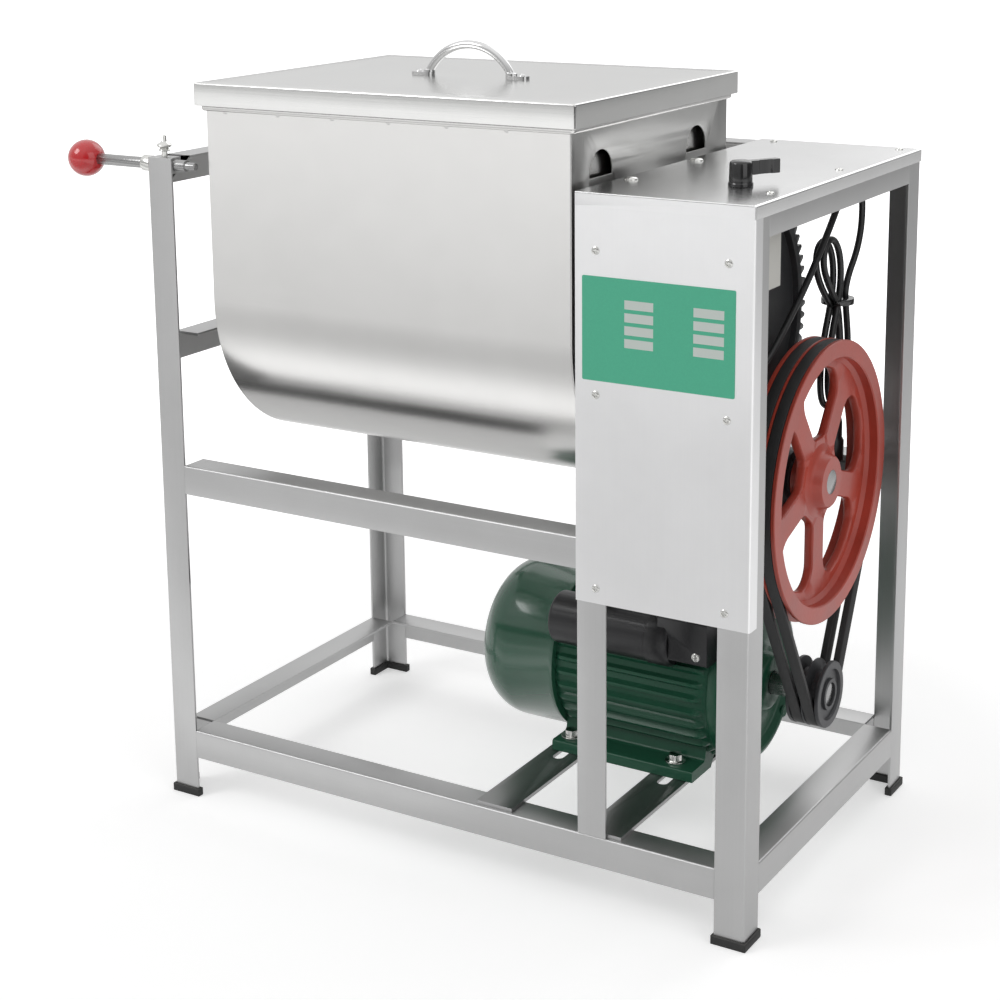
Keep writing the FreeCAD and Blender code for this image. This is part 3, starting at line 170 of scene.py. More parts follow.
class Form:
    """One piece's mesh, gathered from grids of points in working millimetres."""

    def __init__(self, name: str) -> None:
        """Starts an empty form with the piece's name."""
        self.name = name
        self.points: list[Array] = []
        self.faces: list[list[int]] = []
        self.count = 0

    def grid(self, points: Array, loop: bool = False, caps: bool = False) -> "Form":
        """Adds four-sided faces between neighbouring rings of points.

        Args:
            points: (rings, columns, 3) points; each ring is closed.
            loop: joins the last ring to the first.
            caps: closes the first and last rings with one face each.

        Returns:
            The form.
        """
        rows, columns = points.shape[:2]
        index = np.arange(rows * columns).reshape(rows, columns) + self.count
        if caps:
            self.faces += [index[0][::-1].tolist(), index[-1].tolist()]
        if loop:
            index = np.vstack([index, index[:1]])
        index = np.hstack([index, index[:, :1]])
        quads = [index[:-1, :-1], index[1:, :-1], index[1:, 1:], index[:-1, 1:]]
        self.faces += np.stack(quads, -1).reshape(-1, 4).tolist()
        self.points.append(points.reshape(-1, 3))
        self.count += rows * columns
        return self

    def prism(self, outline: Array, low: float, high: float, axis: Axis) -> "Form":
        """Adds a closed outline carried from low to high along an axis."""
        rings = np.stack([lifted(outline, low, axis), lifted(outline, high, axis)])
        return self.grid(rings, caps=True)

    def turned(self, profile: Array, centre: tuple, axis: Axis, sides: int, closed: bool = False) -> "Form":
        """Adds a surface of revolution.

        A profile point (s, r) becomes the circle of radius r at s along the axis.

        Args:
            profile: (n, 2) points of place along the axis and radius.
            centre: the axis's place in the plane across it.
            axis: the axis of turning.
            sides: columns round the axis.
            closed: joins the profile's last point to its first.

        Returns:
            The form.
        """
        profile = np.asarray(profile, float)
        flat = profile[:, 1, None, None] * polar(whole_turn(sides)) + np.asarray(centre, float)
        return self.grid(lifted(flat, profile[:, :1], axis), closed)

    def carried(self, path: Array, normal: Array, side: Array, section: Array, closed: bool = True) -> "Form":
        """Adds a section carried along a path.

        A section point (a, b) lies at path + a * side + b * normal.

        Args:
            path: (n, 3) points.
            normal: (n, 3) unit vectors for the section's second coordinate.
            side: unit vector for its first coordinate.
            section: (m, 2) closed outline.
            closed: joins the path's end to its start, or caps both ends.

        Returns:
            The form.
        """
        rings = path[:, None] + section[None, :, :1] * side + section[None, :, 1:] * normal[:, None]
        return self.grid(rings, closed, not closed)

    def tube(self, path: Array, radius: float, across: Array, sides: int) -> "Form":
        """Adds a round bar along a path that lies in one plane, whose normal is across."""
        normal = np.cross(unit(np.gradient(path, axis=0)), across)
        return self.carried(path, normal, across, polar(whole_turn(sides), radius), False)

    def piece(
        self, body: str, finish: "Finish", *stands_for: str, bevel: float = 0.0, sharp: float = 32.0
    ) -> bpy.types.Object:
        """Makes the mesh object and dresses it, with the arguments of dressed."""
        mesh = bpy.data.meshes.new(self.name)
        mesh.from_pydata(placed(np.concatenate(self.points)).tolist(), [], self.faces)
        return dressed(self.name, mesh, body, finish, stands_for, bevel, sharp)


def linked(name: str, data: bpy.types.ID) -> bpy.types.Object:
    """A new object of the scene with its data."""
    thing = bpy.data.objects.new(name, data)
    bpy.context.scene.collection.objects.link(thing)
    return thing


def dressed(
    name: str,
    mesh: bpy.types.Mesh,
    body: str,
    finish: "Finish",
    stands_for: tuple[str, ...],
    bevel: float,
    sharp: float,
) -> bpy.types.Object:
    """Merges and orients a mesh, smooths it, and sets it on its body.

    Args:
        name: the object's name.
        mesh: the mesh, in the frame's metres.
        body: the frame body that it rides on.
        finish: its material.
        stands_for: the frame nodes that it replaces.
        bevel: width of a rounding on its sharp edges, in millimetres.
        sharp: edges that turn more than this many degrees stay sharp.

    Returns:
        The finished object.
    """
    work = bmesh.new()
    work.from_mesh(mesh)
    bmesh.ops.remove_doubles(work, verts=work.verts, dist=MERGE)
    bmesh.ops.dissolve_degenerate(work, edges=work.edges, dist=1e-7)
    bmesh.ops.recalc_face_normals(work, faces=work.faces)
    work.to_mesh(mesh)
    work.free()
    mesh.polygons.foreach_set("use_smooth", np.ones(len(mesh.polygons), bool))
    thing = linked(name, mesh)
    if bevel:
        edge = thing.modifiers.new("edge", "BEVEL")
        edge.width = bevel * MM
        edge.segments = 2
        edge.limit_method = "ANGLE"
        edge.angle_limit = math.radians(sharp)
        edge.harden_normals = True
    else:
        mesh.set_sharp_from_angle(angle=math.radians(sharp))
    mesh.materials.clear()
    mesh.materials.append(finish.material())
    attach(thing, body)
    if stands_for:
        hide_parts(*stands_for)
    LOG.info("%s: %d faces on %s", name, len(mesh.polygons), body)
    return thing


def recut(node: str, body: str, finish: "Finish", bevel: float, sharp: float = 32.0) -> bpy.types.Object:
    """A merged copy of a frame node with rounded edges, in the node's place."""
    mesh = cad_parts[node].data.copy()
    work = bmesh.new()
    work.from_mesh(mesh)
    bmesh.ops.remove_doubles(work, verts=work.verts, dist=MERGE)
    bmesh.ops.dissolve_limit(work, angle_limit=math.radians(1.0), verts=work.verts, edges=work.edges)
    work.to_mesh(mesh)
    work.free()
    return dressed(node + "_finished", mesh, body, finish, (node,), bevel, sharp)


# Shader maths


def math_step(operation: str, swapped: bool = False) -> Callable[..., "Shade"]:
    """A method of Shade that adds a Math node.

    Args:
        operation: what the node does.
        swapped: makes the method's owner the second value.

    Returns:
        The method, which takes a Shade or a number besides its owner.
    """

    def method(self: "Shade", other: "Shade | float" = 0.0) -> "Shade":
        """The value after the operation."""
        node = self.tree.nodes.new("ShaderNodeMath")
        node.operation = operation
        for place, value in enumerate((other, self) if swapped else (self, other)):
            if isinstance(value, Shade):
                self.tree.links.new(value.socket, node.inputs[place])
            else:
                node.inputs[place].default_value = value
        return Shade(self.tree, node.outputs[0])

    return method


class Shade:
    """A value socket that takes part in Python expressions.

    above and below give 1 where the value is over or under a level, and else 0.
    """

    def __init__(self, tree: bpy.types.NodeTree, socket: bpy.types.NodeSocket) -> None:
        """Keeps the tree that new Math nodes go into."""
        self.tree = tree
        self.socket = socket

    __add__ = math_step("ADD")
    __sub__ = math_step("SUBTRACT")
    __rsub__ = math_step("SUBTRACT", swapped=True)
    __mul__ = math_step("MULTIPLY")
    __truediv__ = math_step("DIVIDE")
    __pow__ = math_step("POWER")
    fraction = math_step("FRACT")
    above = math_step("GREATER_THAN")
    below = math_step("LESS_THAN")
    larger = math_step("MAXIMUM")
    smaller = math_step("MINIMUM")

    def clamped(self) -> "Shade":
        """The value held between 0 and 1."""
        return self.larger(0.0).smaller(1.0)


class Recipe:
    """A node tree in the making."""

    def __init__(self, owner: bpy.types.Material | bpy.types.World) -> None:
        """Clears the tree of a material or world."""
        owner.use_nodes = True
        self.tree = owner.node_tree
        self.tree.nodes.clear()

    def node(self, kind: str, settings: dict | None = None, inputs: dict | None = None) -> bpy.types.Node:
        """Adds a node, sets its settings first and then its sockets.

        Args:
            kind: the node's type name after ShaderNode.
            settings: attribute values; "stops" are a ramp's places and colours.
            inputs: values, Shades, sockets or colours by socket name or place.

        Returns:
            The node.
        """
        made = self.tree.nodes.new("ShaderNode" + kind)
        for name, value in (settings or {}).items():
            if name == "stops":
                ramp = made.color_ramp.elements
                while len(ramp) < len(value):
                    ramp.new(0.5)
                for stop, (place, colour) in zip(ramp, value):
                    stop.position = place
                    stop.color = (*colour, 1.0)
            else:
                setattr(made, name, value)
        for name, value in (inputs or {}).items():
            socket = made.inputs[name]
            if isinstance(value, Shade):
                self.tree.links.new(value.socket, socket)
            elif isinstance(value, bpy.types.NodeSocket):
                self.tree.links.new(value, socket)
            else:
                socket.default_value = (*value, 1.0) if socket.type == "RGBA" else value
        return made

    def value(self, node: bpy.types.Node, output: str | int = 0) -> Shade:
        """A node's output as a Shade."""
        return Shade(self.tree, node.outputs[output])

    def noise(self, scale: float | Colour, detail: float = 2.0, roughness: float = 0.5) -> Shade:
        """Noise over object coordinates, with cells per metre along each axis."""
        scale = tuple(np.broadcast_to(scale, 3).tolist())
        coordinates = self.node("TexCoord").outputs["Object"]
        mapping = self.node("Mapping", inputs={"Vector": coordinates, "Scale": scale})
        inputs = {"Vector": mapping.outputs[0], "Scale": 1.0, "Detail": detail, "Roughness": roughness}
        return self.value(self.node("TexNoise", inputs=inputs), "Fac")

    def parts(self, kind: str, output: str) -> list[Shade]:
        """The x, y and z of a vector that a node of a kind gives."""
        split = self.node("SeparateXYZ", inputs={0: self.node(kind).outputs[output]})
        return [self.value(split, place) for place in range(3)]

    def mixed(self, factor: Shade, first: Colour | Shade, second: Colour | Shade) -> Shade:
        """A colour between two, by a factor."""
        inputs = {"Factor": factor, 6: first, 7: second}
        return self.value(self.node("Mix", {"data_type": "RGBA"}, inputs), 2)

    def bump(self, height: Shade, depth: float) -> Shade:
        """A normal from a height, with its depth in millimetres."""
        inputs = {"Height": height, "Strength": 1.0, "Distance": depth * MM}
        return self.value(self.node("Bump", inputs=inputs))

    def surface(self, **sockets: object) -> None:
        """Ends the tree with a Principled shader, from values or Shades by socket name."""
        inputs = {name.replace("_", " "): value for name, value in sockets.items()}
        shader = self.node("BsdfPrincipled", inputs=inputs)
        self.node("OutputMaterial", inputs={"Surface": shader.outputs[0]})


# Finishes

BUILT: dict[str, bpy.types.Material] = {}


def grey(light: float) -> Colour:
    """A colour of three equal parts."""
    return (light,) * 3


def toned(colour: Colour, factor: float) -> Colour:
    """A colour made lighter or darker."""
    return tuple(min(1.0, part * factor) for part in colour)


@dataclass(frozen=True)
class Finish:
    """A material that is made once and shared by its name."""

    name: str

    def material(self) -> bpy.types.Material:
        """The material, made on first use."""
        if self.name not in BUILT:
            BUILT[self.name] = bpy.data.materials.new(self.name)
            self.mix_up(Recipe(BUILT[self.name]))
        return BUILT[self.name]

    def mix_up(self, recipe: Recipe) -> None:
        """Fills the node tree."""
        raise NotImplementedError


@dataclass(frozen=True)
class BrushedSteel(Finish):
    """Stainless sheet or bar: fine grain along one axis, soft clouds and faint waves."""

    tint: Colour
    roughness: float
    grain: Axis
    wave: float = 0.0
    streak: float = 0.6
    across_grain: float = 520.0
    along_grain: float = 4.0

    def mix_up(self, recipe: Recipe) -> None:
        """Grain is noise stretched along the axis; clouds are broad noise in colour and gloss."""
        scale = [self.across_grain] * 3
        scale[self.grain.value] = self.along_grain
        lines = recipe.noise(tuple(scale), 3.0, 0.6)
        clouds = recipe.noise(5.0)
        handled = recipe.noise(26.0, 4.0, 0.6)
        mark = (handled - 0.5) * 0.5 + (clouds - 0.5) + (lines - 0.5) * self.streak
        gloss = (lines - 0.5) * self.streak * 0.2 + self.roughness + (clouds - 0.5) * 0.1
        height = lines * 0.012 + recipe.noise(3.2, 1.0) * self.wave
        tone = (mark * 0.8 + 0.5).clamped()
        recipe.surface(
            Base_Color=recipe.mixed(tone, toned(self.tint, 0.9), toned(self.tint, 1.07)),
            Metallic=1.0,
            Roughness=gloss.clamped(),
            Normal=recipe.bump(height, 1.0),
        )


@dataclass(frozen=True)
class Bright(Finish):
    """Plated or polished steel with light wear."""

    tint: Colour
    roughness: float

    def mix_up(self, recipe: Recipe) -> None:
        """Gloss varies with fine and broad noise."""
        fine = recipe.noise(180.0, 3.0)
        broad = recipe.noise(30.0)
        recipe.surface(
            Base_Color=recipe.mixed(broad, toned(self.tint, 0.93), toned(self.tint, 1.05)),
            Metallic=1.0,
            Roughness=((fine - 0.5) * 0.1 + self.roughness + (broad - 0.4) * 0.08).clamped(),
            Normal=recipe.bump(fine * 0.01, 1.0),
        )


@dataclass(frozen=True)
class Coated(Finish):
    """Paint, primer, moulding or rubber: colour patches, grain and a gloss of its own."""

    tint: Colour
    roughness: float
    grain: float
    depth: float
    patch: float = 0.12
    coat: float = 0.0
    metallic: float = 0.0
    dust: float = 0.0
    specular: float = 0.5
    coat_roughness: float = 0.12
    dust_tint: Colour = (0.5, 0.48, 0.45)

    def mix_up(self, recipe: Recipe) -> None:
        """Grain bumps the surface; patches change colour and gloss; dust lies on upward faces."""
        grain = recipe.noise(self.grain, 3.0, 0.55)
        patches = recipe.noise(18.0, 3.0, 0.55)
        dark, light = toned(self.tint, 1 - 2 * self.patch), toned(self.tint, 1 + 2 * self.patch)
        colour = recipe.mixed(patches, dark, light)
        if self.dust:
            up = recipe.parts("NewGeometry", "Normal")[2]
            colour = recipe.mixed((up.larger(0.0) * patches * self.dust).clamped(), colour, self.dust_tint)
        gloss = (patches - 0.5) * 0.16 + self.roughness + (grain - 0.5) * 0.1
        recipe.surface(
            Base_Color=colour,
            Metallic=self.metallic,
            Roughness=gloss.clamped(),
            Specular_IOR_Level=self.specular,
            Coat_Weight=self.coat,
            Coat_Roughness=self.coat_roughness,
            Normal=recipe.bump(grain, self.depth),
        )


@dataclass(frozen=True)
class BlankPlate(Finish):
    """Green printed metal with two columns of pale blank fields."""

    low: tuple[float, float]
    high: tuple[float, float]
    green: Colour = (0.08, 0.48, 0.30)
    pale: Colour = (0.62, 0.68, 0.64)
    columns: tuple = ((0.285, 0.475), (0.735, 0.93))
    first_row: float = 0.315
    row_pitch: float = 0.122
    rows: float = 4.0
    row_gap: float = 0.30

    def field_mask(self, across: Shade, up: Shade) -> Shade:
        """1 inside a field, from shares of the plate's sides."""
        row = (up - self.first_row) / self.row_pitch
        within = row.above(0.0) * row.below(self.rows) * row.fraction().above(self.row_gap)
        left, right = (across.above(start) * across.below(end) for start, end in self.columns)
        return within * (left + right)

    def mix_up(self, recipe: Recipe) -> None:
        """Object X and Z are turned into shares of the plate; the fields are a mask on them."""
        x, _, z = recipe.parts("TexCoord", "Object")
        across = (x - self.low[0]) / (self.high[0] - self.low[0])
        up = (z - self.low[1]) / (self.high[1] - self.low[1])
        speck = recipe.noise(700.0)
        green = recipe.mixed(speck, toned(self.green, 0.93), toned(self.green, 1.07))
        recipe.surface(
            Base_Color=recipe.mixed(self.field_mask(across, up), green, self.pale),
            Roughness=(speck - 0.5) * 0.08 + 0.36,
            Normal=recipe.bump(speck, 0.008),
        )


FRAME_STEEL = {
    axis: BrushedSteel(f"frame_steel_{axis.name.lower()}", grey(0.525), 0.42, axis) for axis in Axis
}
PANEL_STEEL = BrushedSteel("panel_steel", (0.82, 0.82, 0.825), 0.30, Axis.Z, 0.05, 0.2)
TOP_STEEL = BrushedSteel("top_plate_steel", grey(0.87), 0.24, Axis.Y, 0.05, 0.3)
BOWL_STEEL = BrushedSteel("bowl_steel", (0.69, 0.685, 0.675), 0.22, Axis.X, 0.16, 0.35)
END_STEEL = BrushedSteel("bowl_end_steel", (0.57, 0.57, 0.56), 0.30, Axis.Z, 0.1, 0.35)
LID_STEEL = BrushedSteel("lid_steel", (0.74, 0.74, 0.73), 0.2, Axis.X, 0.16, 0.7)
SHAFT_STEEL = BrushedSteel("shaft_steel", grey(0.34), 0.24, Axis.Y)
SLOT_STEEL = BrushedSteel("slot_flat_steel", grey(0.42), 0.4, Axis.Y)
CHROME = Bright("chrome", grey(0.66), 0.09)
SCREW = Bright("screw_plating", (0.66, 0.66, 0.64), 0.2)
# Dark for the lid's open corner seam, and painted shade inside the fan cover's slots.
SEAM_AND_SLOT_SHADE = Coated("open_seam_and_slot_shade", grey(0.03), 0.6, 400.0, 0.01)
RUBBER = Coated("foot_rubber", grey(0.022), 0.65, 500.0, 0.03, dust=0.15)
BALL = Coated("ball_red", (0.62, 0.012, 0.018), 0.16, 90.0, 0.004, 0.04, 0.8)
MOTOR_GREEN = Coated(
    "motor_enamel", (0.011, 0.085, 0.045), 0.34, 420.0, 0.015, 0.08, 0.16, dust=0.03, specular=0.25
)
COVER_GREEN = Coated("cover_enamel", (0.018, 0.098, 0.054), 0.24, 420.0, 0.008, 0.06, 0.6, dust=0.02)
PULLEY_RED = Coated("red_primer", (0.43, 0.055, 0.033), 0.36, 260.0, 0.10, 0.16, 0.12, dust=0.02)
DARK_IRON = Coated("dark_iron", (0.062, 0.063, 0.067), 0.42, 320.0, 0.04, metallic=0.5)
GEAR_IRON = Coated("gear_iron", (0.018, 0.019, 0.021), 0.36, 300.0, 0.05, 0.2, 0.2)
BLOCK_IRON = Coated("bearing_iron", (0.055, 0.058, 0.06), 0.5, 300.0, 0.06)
BELT = Coated("belt_rubber", (0.022, 0.022, 0.023), 0.55, 600.0, 0.03, 0.1, dust=0.04)
COVER_BLACK = Coated("capacitor_black", (0.016, 0.016, 0.018), 0.34, 500.0, 0.01, 0.08)
KNOB_BLACK = Coated("knob_black", (0.012, 0.012, 0.013), 0.14, 300.0, 0.004, 0.05, 0.5)
SWITCH_CREAM = Coated("switch_moulding", (0.62, 0.61, 0.57), 0.45, 500.0, 0.01, 0.03)
CABLE = Coated("cable_sheath", (0.016, 0.016, 0.017), 0.38, 500.0, 0.012, 0.1)


# Sub-assemblies

# Bars by direction, each with the sides of its box, 0 low and 1 high, that its heel is on.
HEELS = {
    Axis.Z: {
        "post_front_left": (0, 0), "post_front_right": (1, 0), "post_rear_left": (0, 1),
        "post_rear_right": (1, 1), "mid_post_front": (0, 0), "mid_post_rear": (0, 1),
    },
    Axis.X: {
        "rail_bottom_front": (0, 1), "rail_bottom_rear": (1, 1), "rail_mid_front": (0, 1),
        "rail_mid_rear": (1, 1), "rail_top_front": (0, 1), "rail_top_rear": (1, 1),
    },
    Axis.Y: {
        "rail_bottom_left": (0, 1), "rail_bottom_right": (1, 1), "rail_mid_left": (0, 1),
        "rail_top_left": (0, 1), "rail_top_right": (1, 1), "bearing_rail": (0, 1),
        "counter_rail_inner": (0, 1), "counter_rail_outer": (0, 1),
    },
}

@dataclass
class AngleFrame:
    """Welded frame of angle bar on rubber shoes, with the slotted flats."""

    width: float = 32.0
    wall: float = 3.0
    heel_radius: float = 2.0
    toe_radius: float = 0.8
    root_radius: float = 3.0
    tip_radius: float = 0.3
    edge: float = 0.35
    bay: tuple[float, float] = (518.0, 550.0)
    cut_at_bay: tuple[str, ...] = ("rail_mid_front", "rail_mid_rear", "rail_top_rear")

    def section(self, low: Array, high: Array, heel: tuple[int, int]) -> Array:
        """Outline of the angle in its box, with round heel, toes and root.

        Args:
            low: lowest corner of the box, across the bar.
            high: highest corner of the box, across the bar.
            heel: 0 for the low side and 1 for the high side, on each axis.

        Returns:
            The outline.
        """
        corner = np.where(np.array(heel) == 0, low, high)
        inward = np.where(np.array(heel) == 0, 1.0, -1.0)
        shape = np.array([(0, 0), (1, 0), (1, 2), (2, 2), (2, 1), (0, 1)])
        reach = np.array([0.0, self.width, self.wall])
        tip, toe = self.tip_radius, self.toe_radius
        radii = (self.heel_radius, tip, toe, self.root_radius, toe, tip)
        return rounded(corner + inward * reach[shape], radii, 3)

    def build(self) -> None:
        """Builds every bar, in one length or cut at the middle posts, then the shoes and the flats."""
        for axis, bars in HEELS.items():
            for node, heel in bars.items():
                low, high = span(node)
                across = [place for place in range(3) if place != axis.value]
                outline = self.section(low[across], high[across], heel)
                start, end = low[axis.value], high[axis.value]
                ends = [(start, end)]
                if node in self.cut_at_bay:
                    ends = [(start, self.bay[0]), (self.bay[1], end)]
                form = Form(node + "_bar")
                for start, end in ends:
                    form.prism(outline, start, end, axis)
                form.piece("frame", FRAME_STEEL[axis], node, bevel=self.edge)
        recut("rubber_feet", "frame", RUBBER, 1.0)
        recut("motor_rails", "frame", SLOT_STEEL, 0.4)


@dataclass
class ScrewHeads:
    """Pan heads with a cross recess, and two round plugs in the top plate."""

    radius: float = 4.2
    height: float = 1.8
    recess_reach: float = 0.62
    recess_half: float = 0.16
    recess_depth: float = 0.75
    left_heights: tuple = (667.0, 529.0, 337.0)
    right_heights: tuple = (667.0, 522.0, 337.0)
    edge_rows: tuple = (70.0, 236.0, 402.0)
    rear_place: tuple = (540.0, 402.0)
    plug_rows: tuple = (88.0, 232.0)
    plug_radius: float = 7.0
    plug_height: float = 3.2

    def head(self) -> Array:
        """Grid of one head standing on z = 0, as (ring, column, 3).

        Height over the disc is a circle's cap, less the recess wherever a point
        lies within half the cross's width of either arm.
        """
        share = np.linspace(0, 1, 13)[:, None]
        disc = polar(whole_turn(40)[None], share)
        cross = (abs(disc).min(-1) < self.recess_half) & (share < self.recess_reach)
        cap = self.height * np.sqrt(np.clip(1 - (share * 0.96) ** 2.6, 0, 1))
        up = np.where(cross, cap - self.recess_depth, cap)
        up[-1] = 0.0
        return lifted(disc * self.radius, up, Axis.Z)

    def facing_front(self, x: float, y: float, z: float) -> Array:
        """A head whose foot lies at y and whose top points to the front."""
        cap = self.head()
        return np.stack([x + cap[..., 0], y - cap[..., 2], z + cap[..., 1]], -1)

    def build(self) -> None:
        """Sets a head at each of the frame's screws."""
        low, high = span("panel_screws")
        form = Form("panel_screw_heads")
        left, right = low[0] + self.radius, high[0] - self.radius
        for x, heights in ((left, self.left_heights), (right, self.right_heights)):
            for z in heights:
                form.grid(self.facing_front(x, high[1], z))
        form.piece("frame", SCREW, "panel_screws")
        low, high = span("plate_screws")
        form = Form("plate_screw_heads")
        for x, y in (*((high[0] - self.radius, row) for row in self.edge_rows), self.rear_place):
            form.grid(self.head() + (x, y, low[2]))
        plug = polar(arc(90, 0, 9)) * (self.plug_height, self.plug_radius) + (low[2], 0)
        for y in self.plug_rows:
            form.turned(plug, (low[0] + self.plug_radius, y), Axis.Z, 32)
        form.piece("frame", SCREW, "plate_screws")


@dataclass
class Covers:
    """Front panel, top plate and the green plate, bent from sheet."""

    sheet: float = 1.2
    bend: float = 2.4
    tip: float = 0.3

    def fold(self, low: Array, high: Array, way: float) -> Array:
        """Outline of an L: a run along the first axis, folded at its high end.

        Args:
            low: plane corner where the run starts.
            high: plane corner where the fold ends.
            way: 1 where the fold rises from the run and -1 where it drops.

        Returns:
            The outline, with round bends.
        """
        (x0, y0), (x1, y1), t = low, high, self.sheet
        corners = [(x0, y0), (x1, y0), (x1, y1), (x1 - t, y1), (x1 - t, y0 + way * t), (x0, y0 + way * t)]
        return rounded(corners, (self.tip, self.bend, self.tip, self.tip, self.bend - t, self.tip), 6)

    def build(self) -> None:
        """Panel and plate are L sections carried along their fold; the green plate is a slab."""
        low, high = span("front_panel")
        plate_low, plate_high = span("top_plate")
        form = Form("front_panel_sheet")
        form.prism(self.fold(low[:2], high[:2], 1.0), low[2], plate_low[2], Axis.Z)
        face = rounded(four_corners(low, (high[0], low[1] + self.sheet)), self.tip, 2)
        form.prism(face, plate_low[2], high[2] - 0.2, Axis.Z)
        form.piece("frame", PANEL_STEEL, "front_panel", bevel=0.25)

        outline = self.fold((plate_low[0], plate_high[2]), (plate_high[0], plate_low[2]), -1.0)
        form = Form("top_plate_sheet").prism(outline, plate_low[1], plate_high[1], Axis.Y)
        form.piece("frame", TOP_STEEL, "top_plate", bevel=0.25)

        low, high = span("data_plate")
        print_low, print_high = placed(low), placed(high)
        finish = BlankPlate("green_plate", (print_low[0], print_low[2]), (print_high[0], print_high[2]))
        outline = rounded(four_corners(low[[0, 2]], high[[0, 2]]), 1.5, 4)
        form = Form("data_plate_slab").prism(outline, low[1], high[1], Axis.Y)
        form.piece("frame", finish, "data_plate", bevel=0.15)


@dataclass
class Bowl:
    """Sheet trough with end plates, spot welds, rim band and hubs."""

    axis: tuple[float, float] = (188.0, 569.0)
    radius: float = 170.0
    wall: float = 1.5
    gap: float = 6.5
    weld_pitch: float = 68.0
    weld_size: tuple[float, float] = (0.9, 2.6)
    weld_sink: float = 0.1

    def section(self, inset: float, top: float) -> Array:
        """The U line at an inset: front wall, half circle, back wall, as (y, z) points."""
        r = self.radius - inset
        bow = polar(arc(180, 360, 65), r) + self.axis
        return np.vstack([[(self.axis[0] - r, top)], bow, [(self.axis[0] + r, top)]])

    def build(self) -> None:
        """Trough, end plates, end cover, rim, welds and hubs."""
        low, high = span("bowl_shell")
        plate = self.section(self.wall, high[2])
        trough = np.vstack([self.section(0.0, high[2]), plate[::-1]])
        form = Form("bowl_trough").prism(trough, low[0], high[0], Axis.X)
        for left in (low[0], high[0] - self.gap - self.wall):
            form.prism(plate, left, left + self.wall, Axis.X)
        form.piece("bowl", BOWL_STEEL, "bowl_shell", bevel=0.3)
        recut("bowl_end_cover", "bowl", END_STEEL, 0.25)
        self.build_rim(span("bowl_end_cover")[1][0])
        recut("bowl_hubs", "bowl", SHAFT_STEEL, 0.8)

    def build_rim(self, right: float) -> None:
        """Rim band: a folded section carried round the bowl, with weld dots below it.

        Args:
            right: outer face of the bowl's right end.
        """
        low, high = span("bowl_rim")
        out = high[0] - right
        section = [
            (0.0, low[2]), (out - 2.2, low[2]), (out - 0.7, low[2] + 0.7), (out, low[2] + 2.2),
            (out, low[2] + 6.5), (out - 0.8, low[2] + 7.2), (out - 0.8, high[2] - 0.6),
            (out - 1.4, high[2]), (0.0, high[2]),
        ]
        rings = [lifted(rounded(four_corners(low, high, out - o), 0.4 + o, 8), z, Axis.Z) for o, z in section]
        form = Form("bowl_rim_band").grid(np.stack(rings), loop=True)
        form.piece("bowl", BOWL_STEEL, "bowl_rim", sharp=50.0)
        form = Form("bowl_rim_welds")
        dot = polar(arc(90, 0, 5)) * self.weld_size - (self.weld_sink, 0)
        for x in np.arange(low[0] + 30.0, high[0] - 20.0, self.weld_pitch):
            for y, way in ((low[1] + out, -1.0), (high[1] - out, 1.0)):
                form.turned(dot * (way, 1) + (y, 0), (x, low[2] - 0.4), Axis.Y, 12)
        form.piece("bowl", BOWL_STEEL)


@dataclass
class Lid:
    """Pan lid with a folded skirt and an arched handle."""

    wall: float = 1.2
    bend: float = 2.0
    corner: float = 3.0
    least_corner: float = 0.4
    handle_radius: float = 4.5
    handle_span: float = 102.0
    foot_reach: float = 21.0
    foot_half: float = 7.0
    foot_thick: float = 3.0
    screw_inset: float = 8.0
    collar: tuple = ((0.5, 0), (0.5, 6.3), (5.2, 6.3), (6.4, 4.6), (6.4, 0))

    def build(self) -> None:
        """Pan as rings from the underside's middle round the skirt to the top's middle."""
        low, high = span("lid_pan")
        top, bottom, wall, bend = high[2], low[2], self.wall, self.bend
        rings = [(150.0, top - wall), (80.0, top - wall), (wall + 1.0, top - wall), (wall, top - wall - 1.0)]
        rings += [(wall, bottom + 0.2), (wall * 0.5, bottom), (0.0, bottom + 0.3)]
        rings += [(bend * (1 - math.sin(a)), top - bend * (1 - math.cos(a))) for a in arc(90, 0, 6)]
        rings += [(30.0, top), (80.0, top), (150.0, top)]
        grids = []
        for inset, z in rings:
            radius = max(self.corner - inset, self.least_corner)
            grids.append(lifted(rounded(four_corners(low, high, inset), radius, 6), z, Axis.Z))
        Form("lid_pan_sheet").grid(np.stack(grids), caps=True).piece("lid", LID_STEEL, "lid_pan", sharp=50.0)
        seam = four_corners((high[0] - 0.9, low[1] - 0.06), (high[0] + 0.06, low[1] + 0.5))
        Form("lid_corner_seam").prism(seam, bottom + 1.0, top - 2.4, Axis.Z).piece("lid", SEAM_AND_SLOT_SHADE)
        self.build_handle(low, high)

    def build_handle(self, low: Array, high: Array) -> None:
        """Arch of round bar on two flattened feet, each with its screw."""
        (x, y, _), top = (low + high) / 2, high[2]
        base = top + self.foot_thick
        half = self.handle_span / 2
        rise = span("lid_handle")[1][2] - base - self.handle_radius
        turn = math.degrees(2 * math.atan2(rise, half))
        radius = half / math.sin(math.radians(turn))
        bow = polar(arc(90 + turn, 90 - turn, 41), radius) + (x, base + rise - radius)
        form = Form("lid_handle_bar")
        form.tube(lifted(bow, y, Axis.Y), self.handle_radius, np.array([0.0, 1.0, 0.0]), 24)
        for side in (-1, 1):
            x0, x1 = sorted((x + side * (half - 6.0), x + side * (half + self.foot_reach)))
            outline = four_corners((x0, y - self.foot_half), (x1, y + self.foot_half))
            form.prism(rounded(outline, 6.4, 8), top, base, Axis.Z)
            form.turned(moved(self.collar, top), (x + side * half, y), Axis.Z, 28)
            screw = x + side * (half + self.foot_reach - self.screw_inset)
            form.grid(ScrewHeads(3.6, 1.9).head() + (screw, y, base))
        form.piece("lid", CHROME, "lid_handle", bevel=0.4, sharp=40.0)


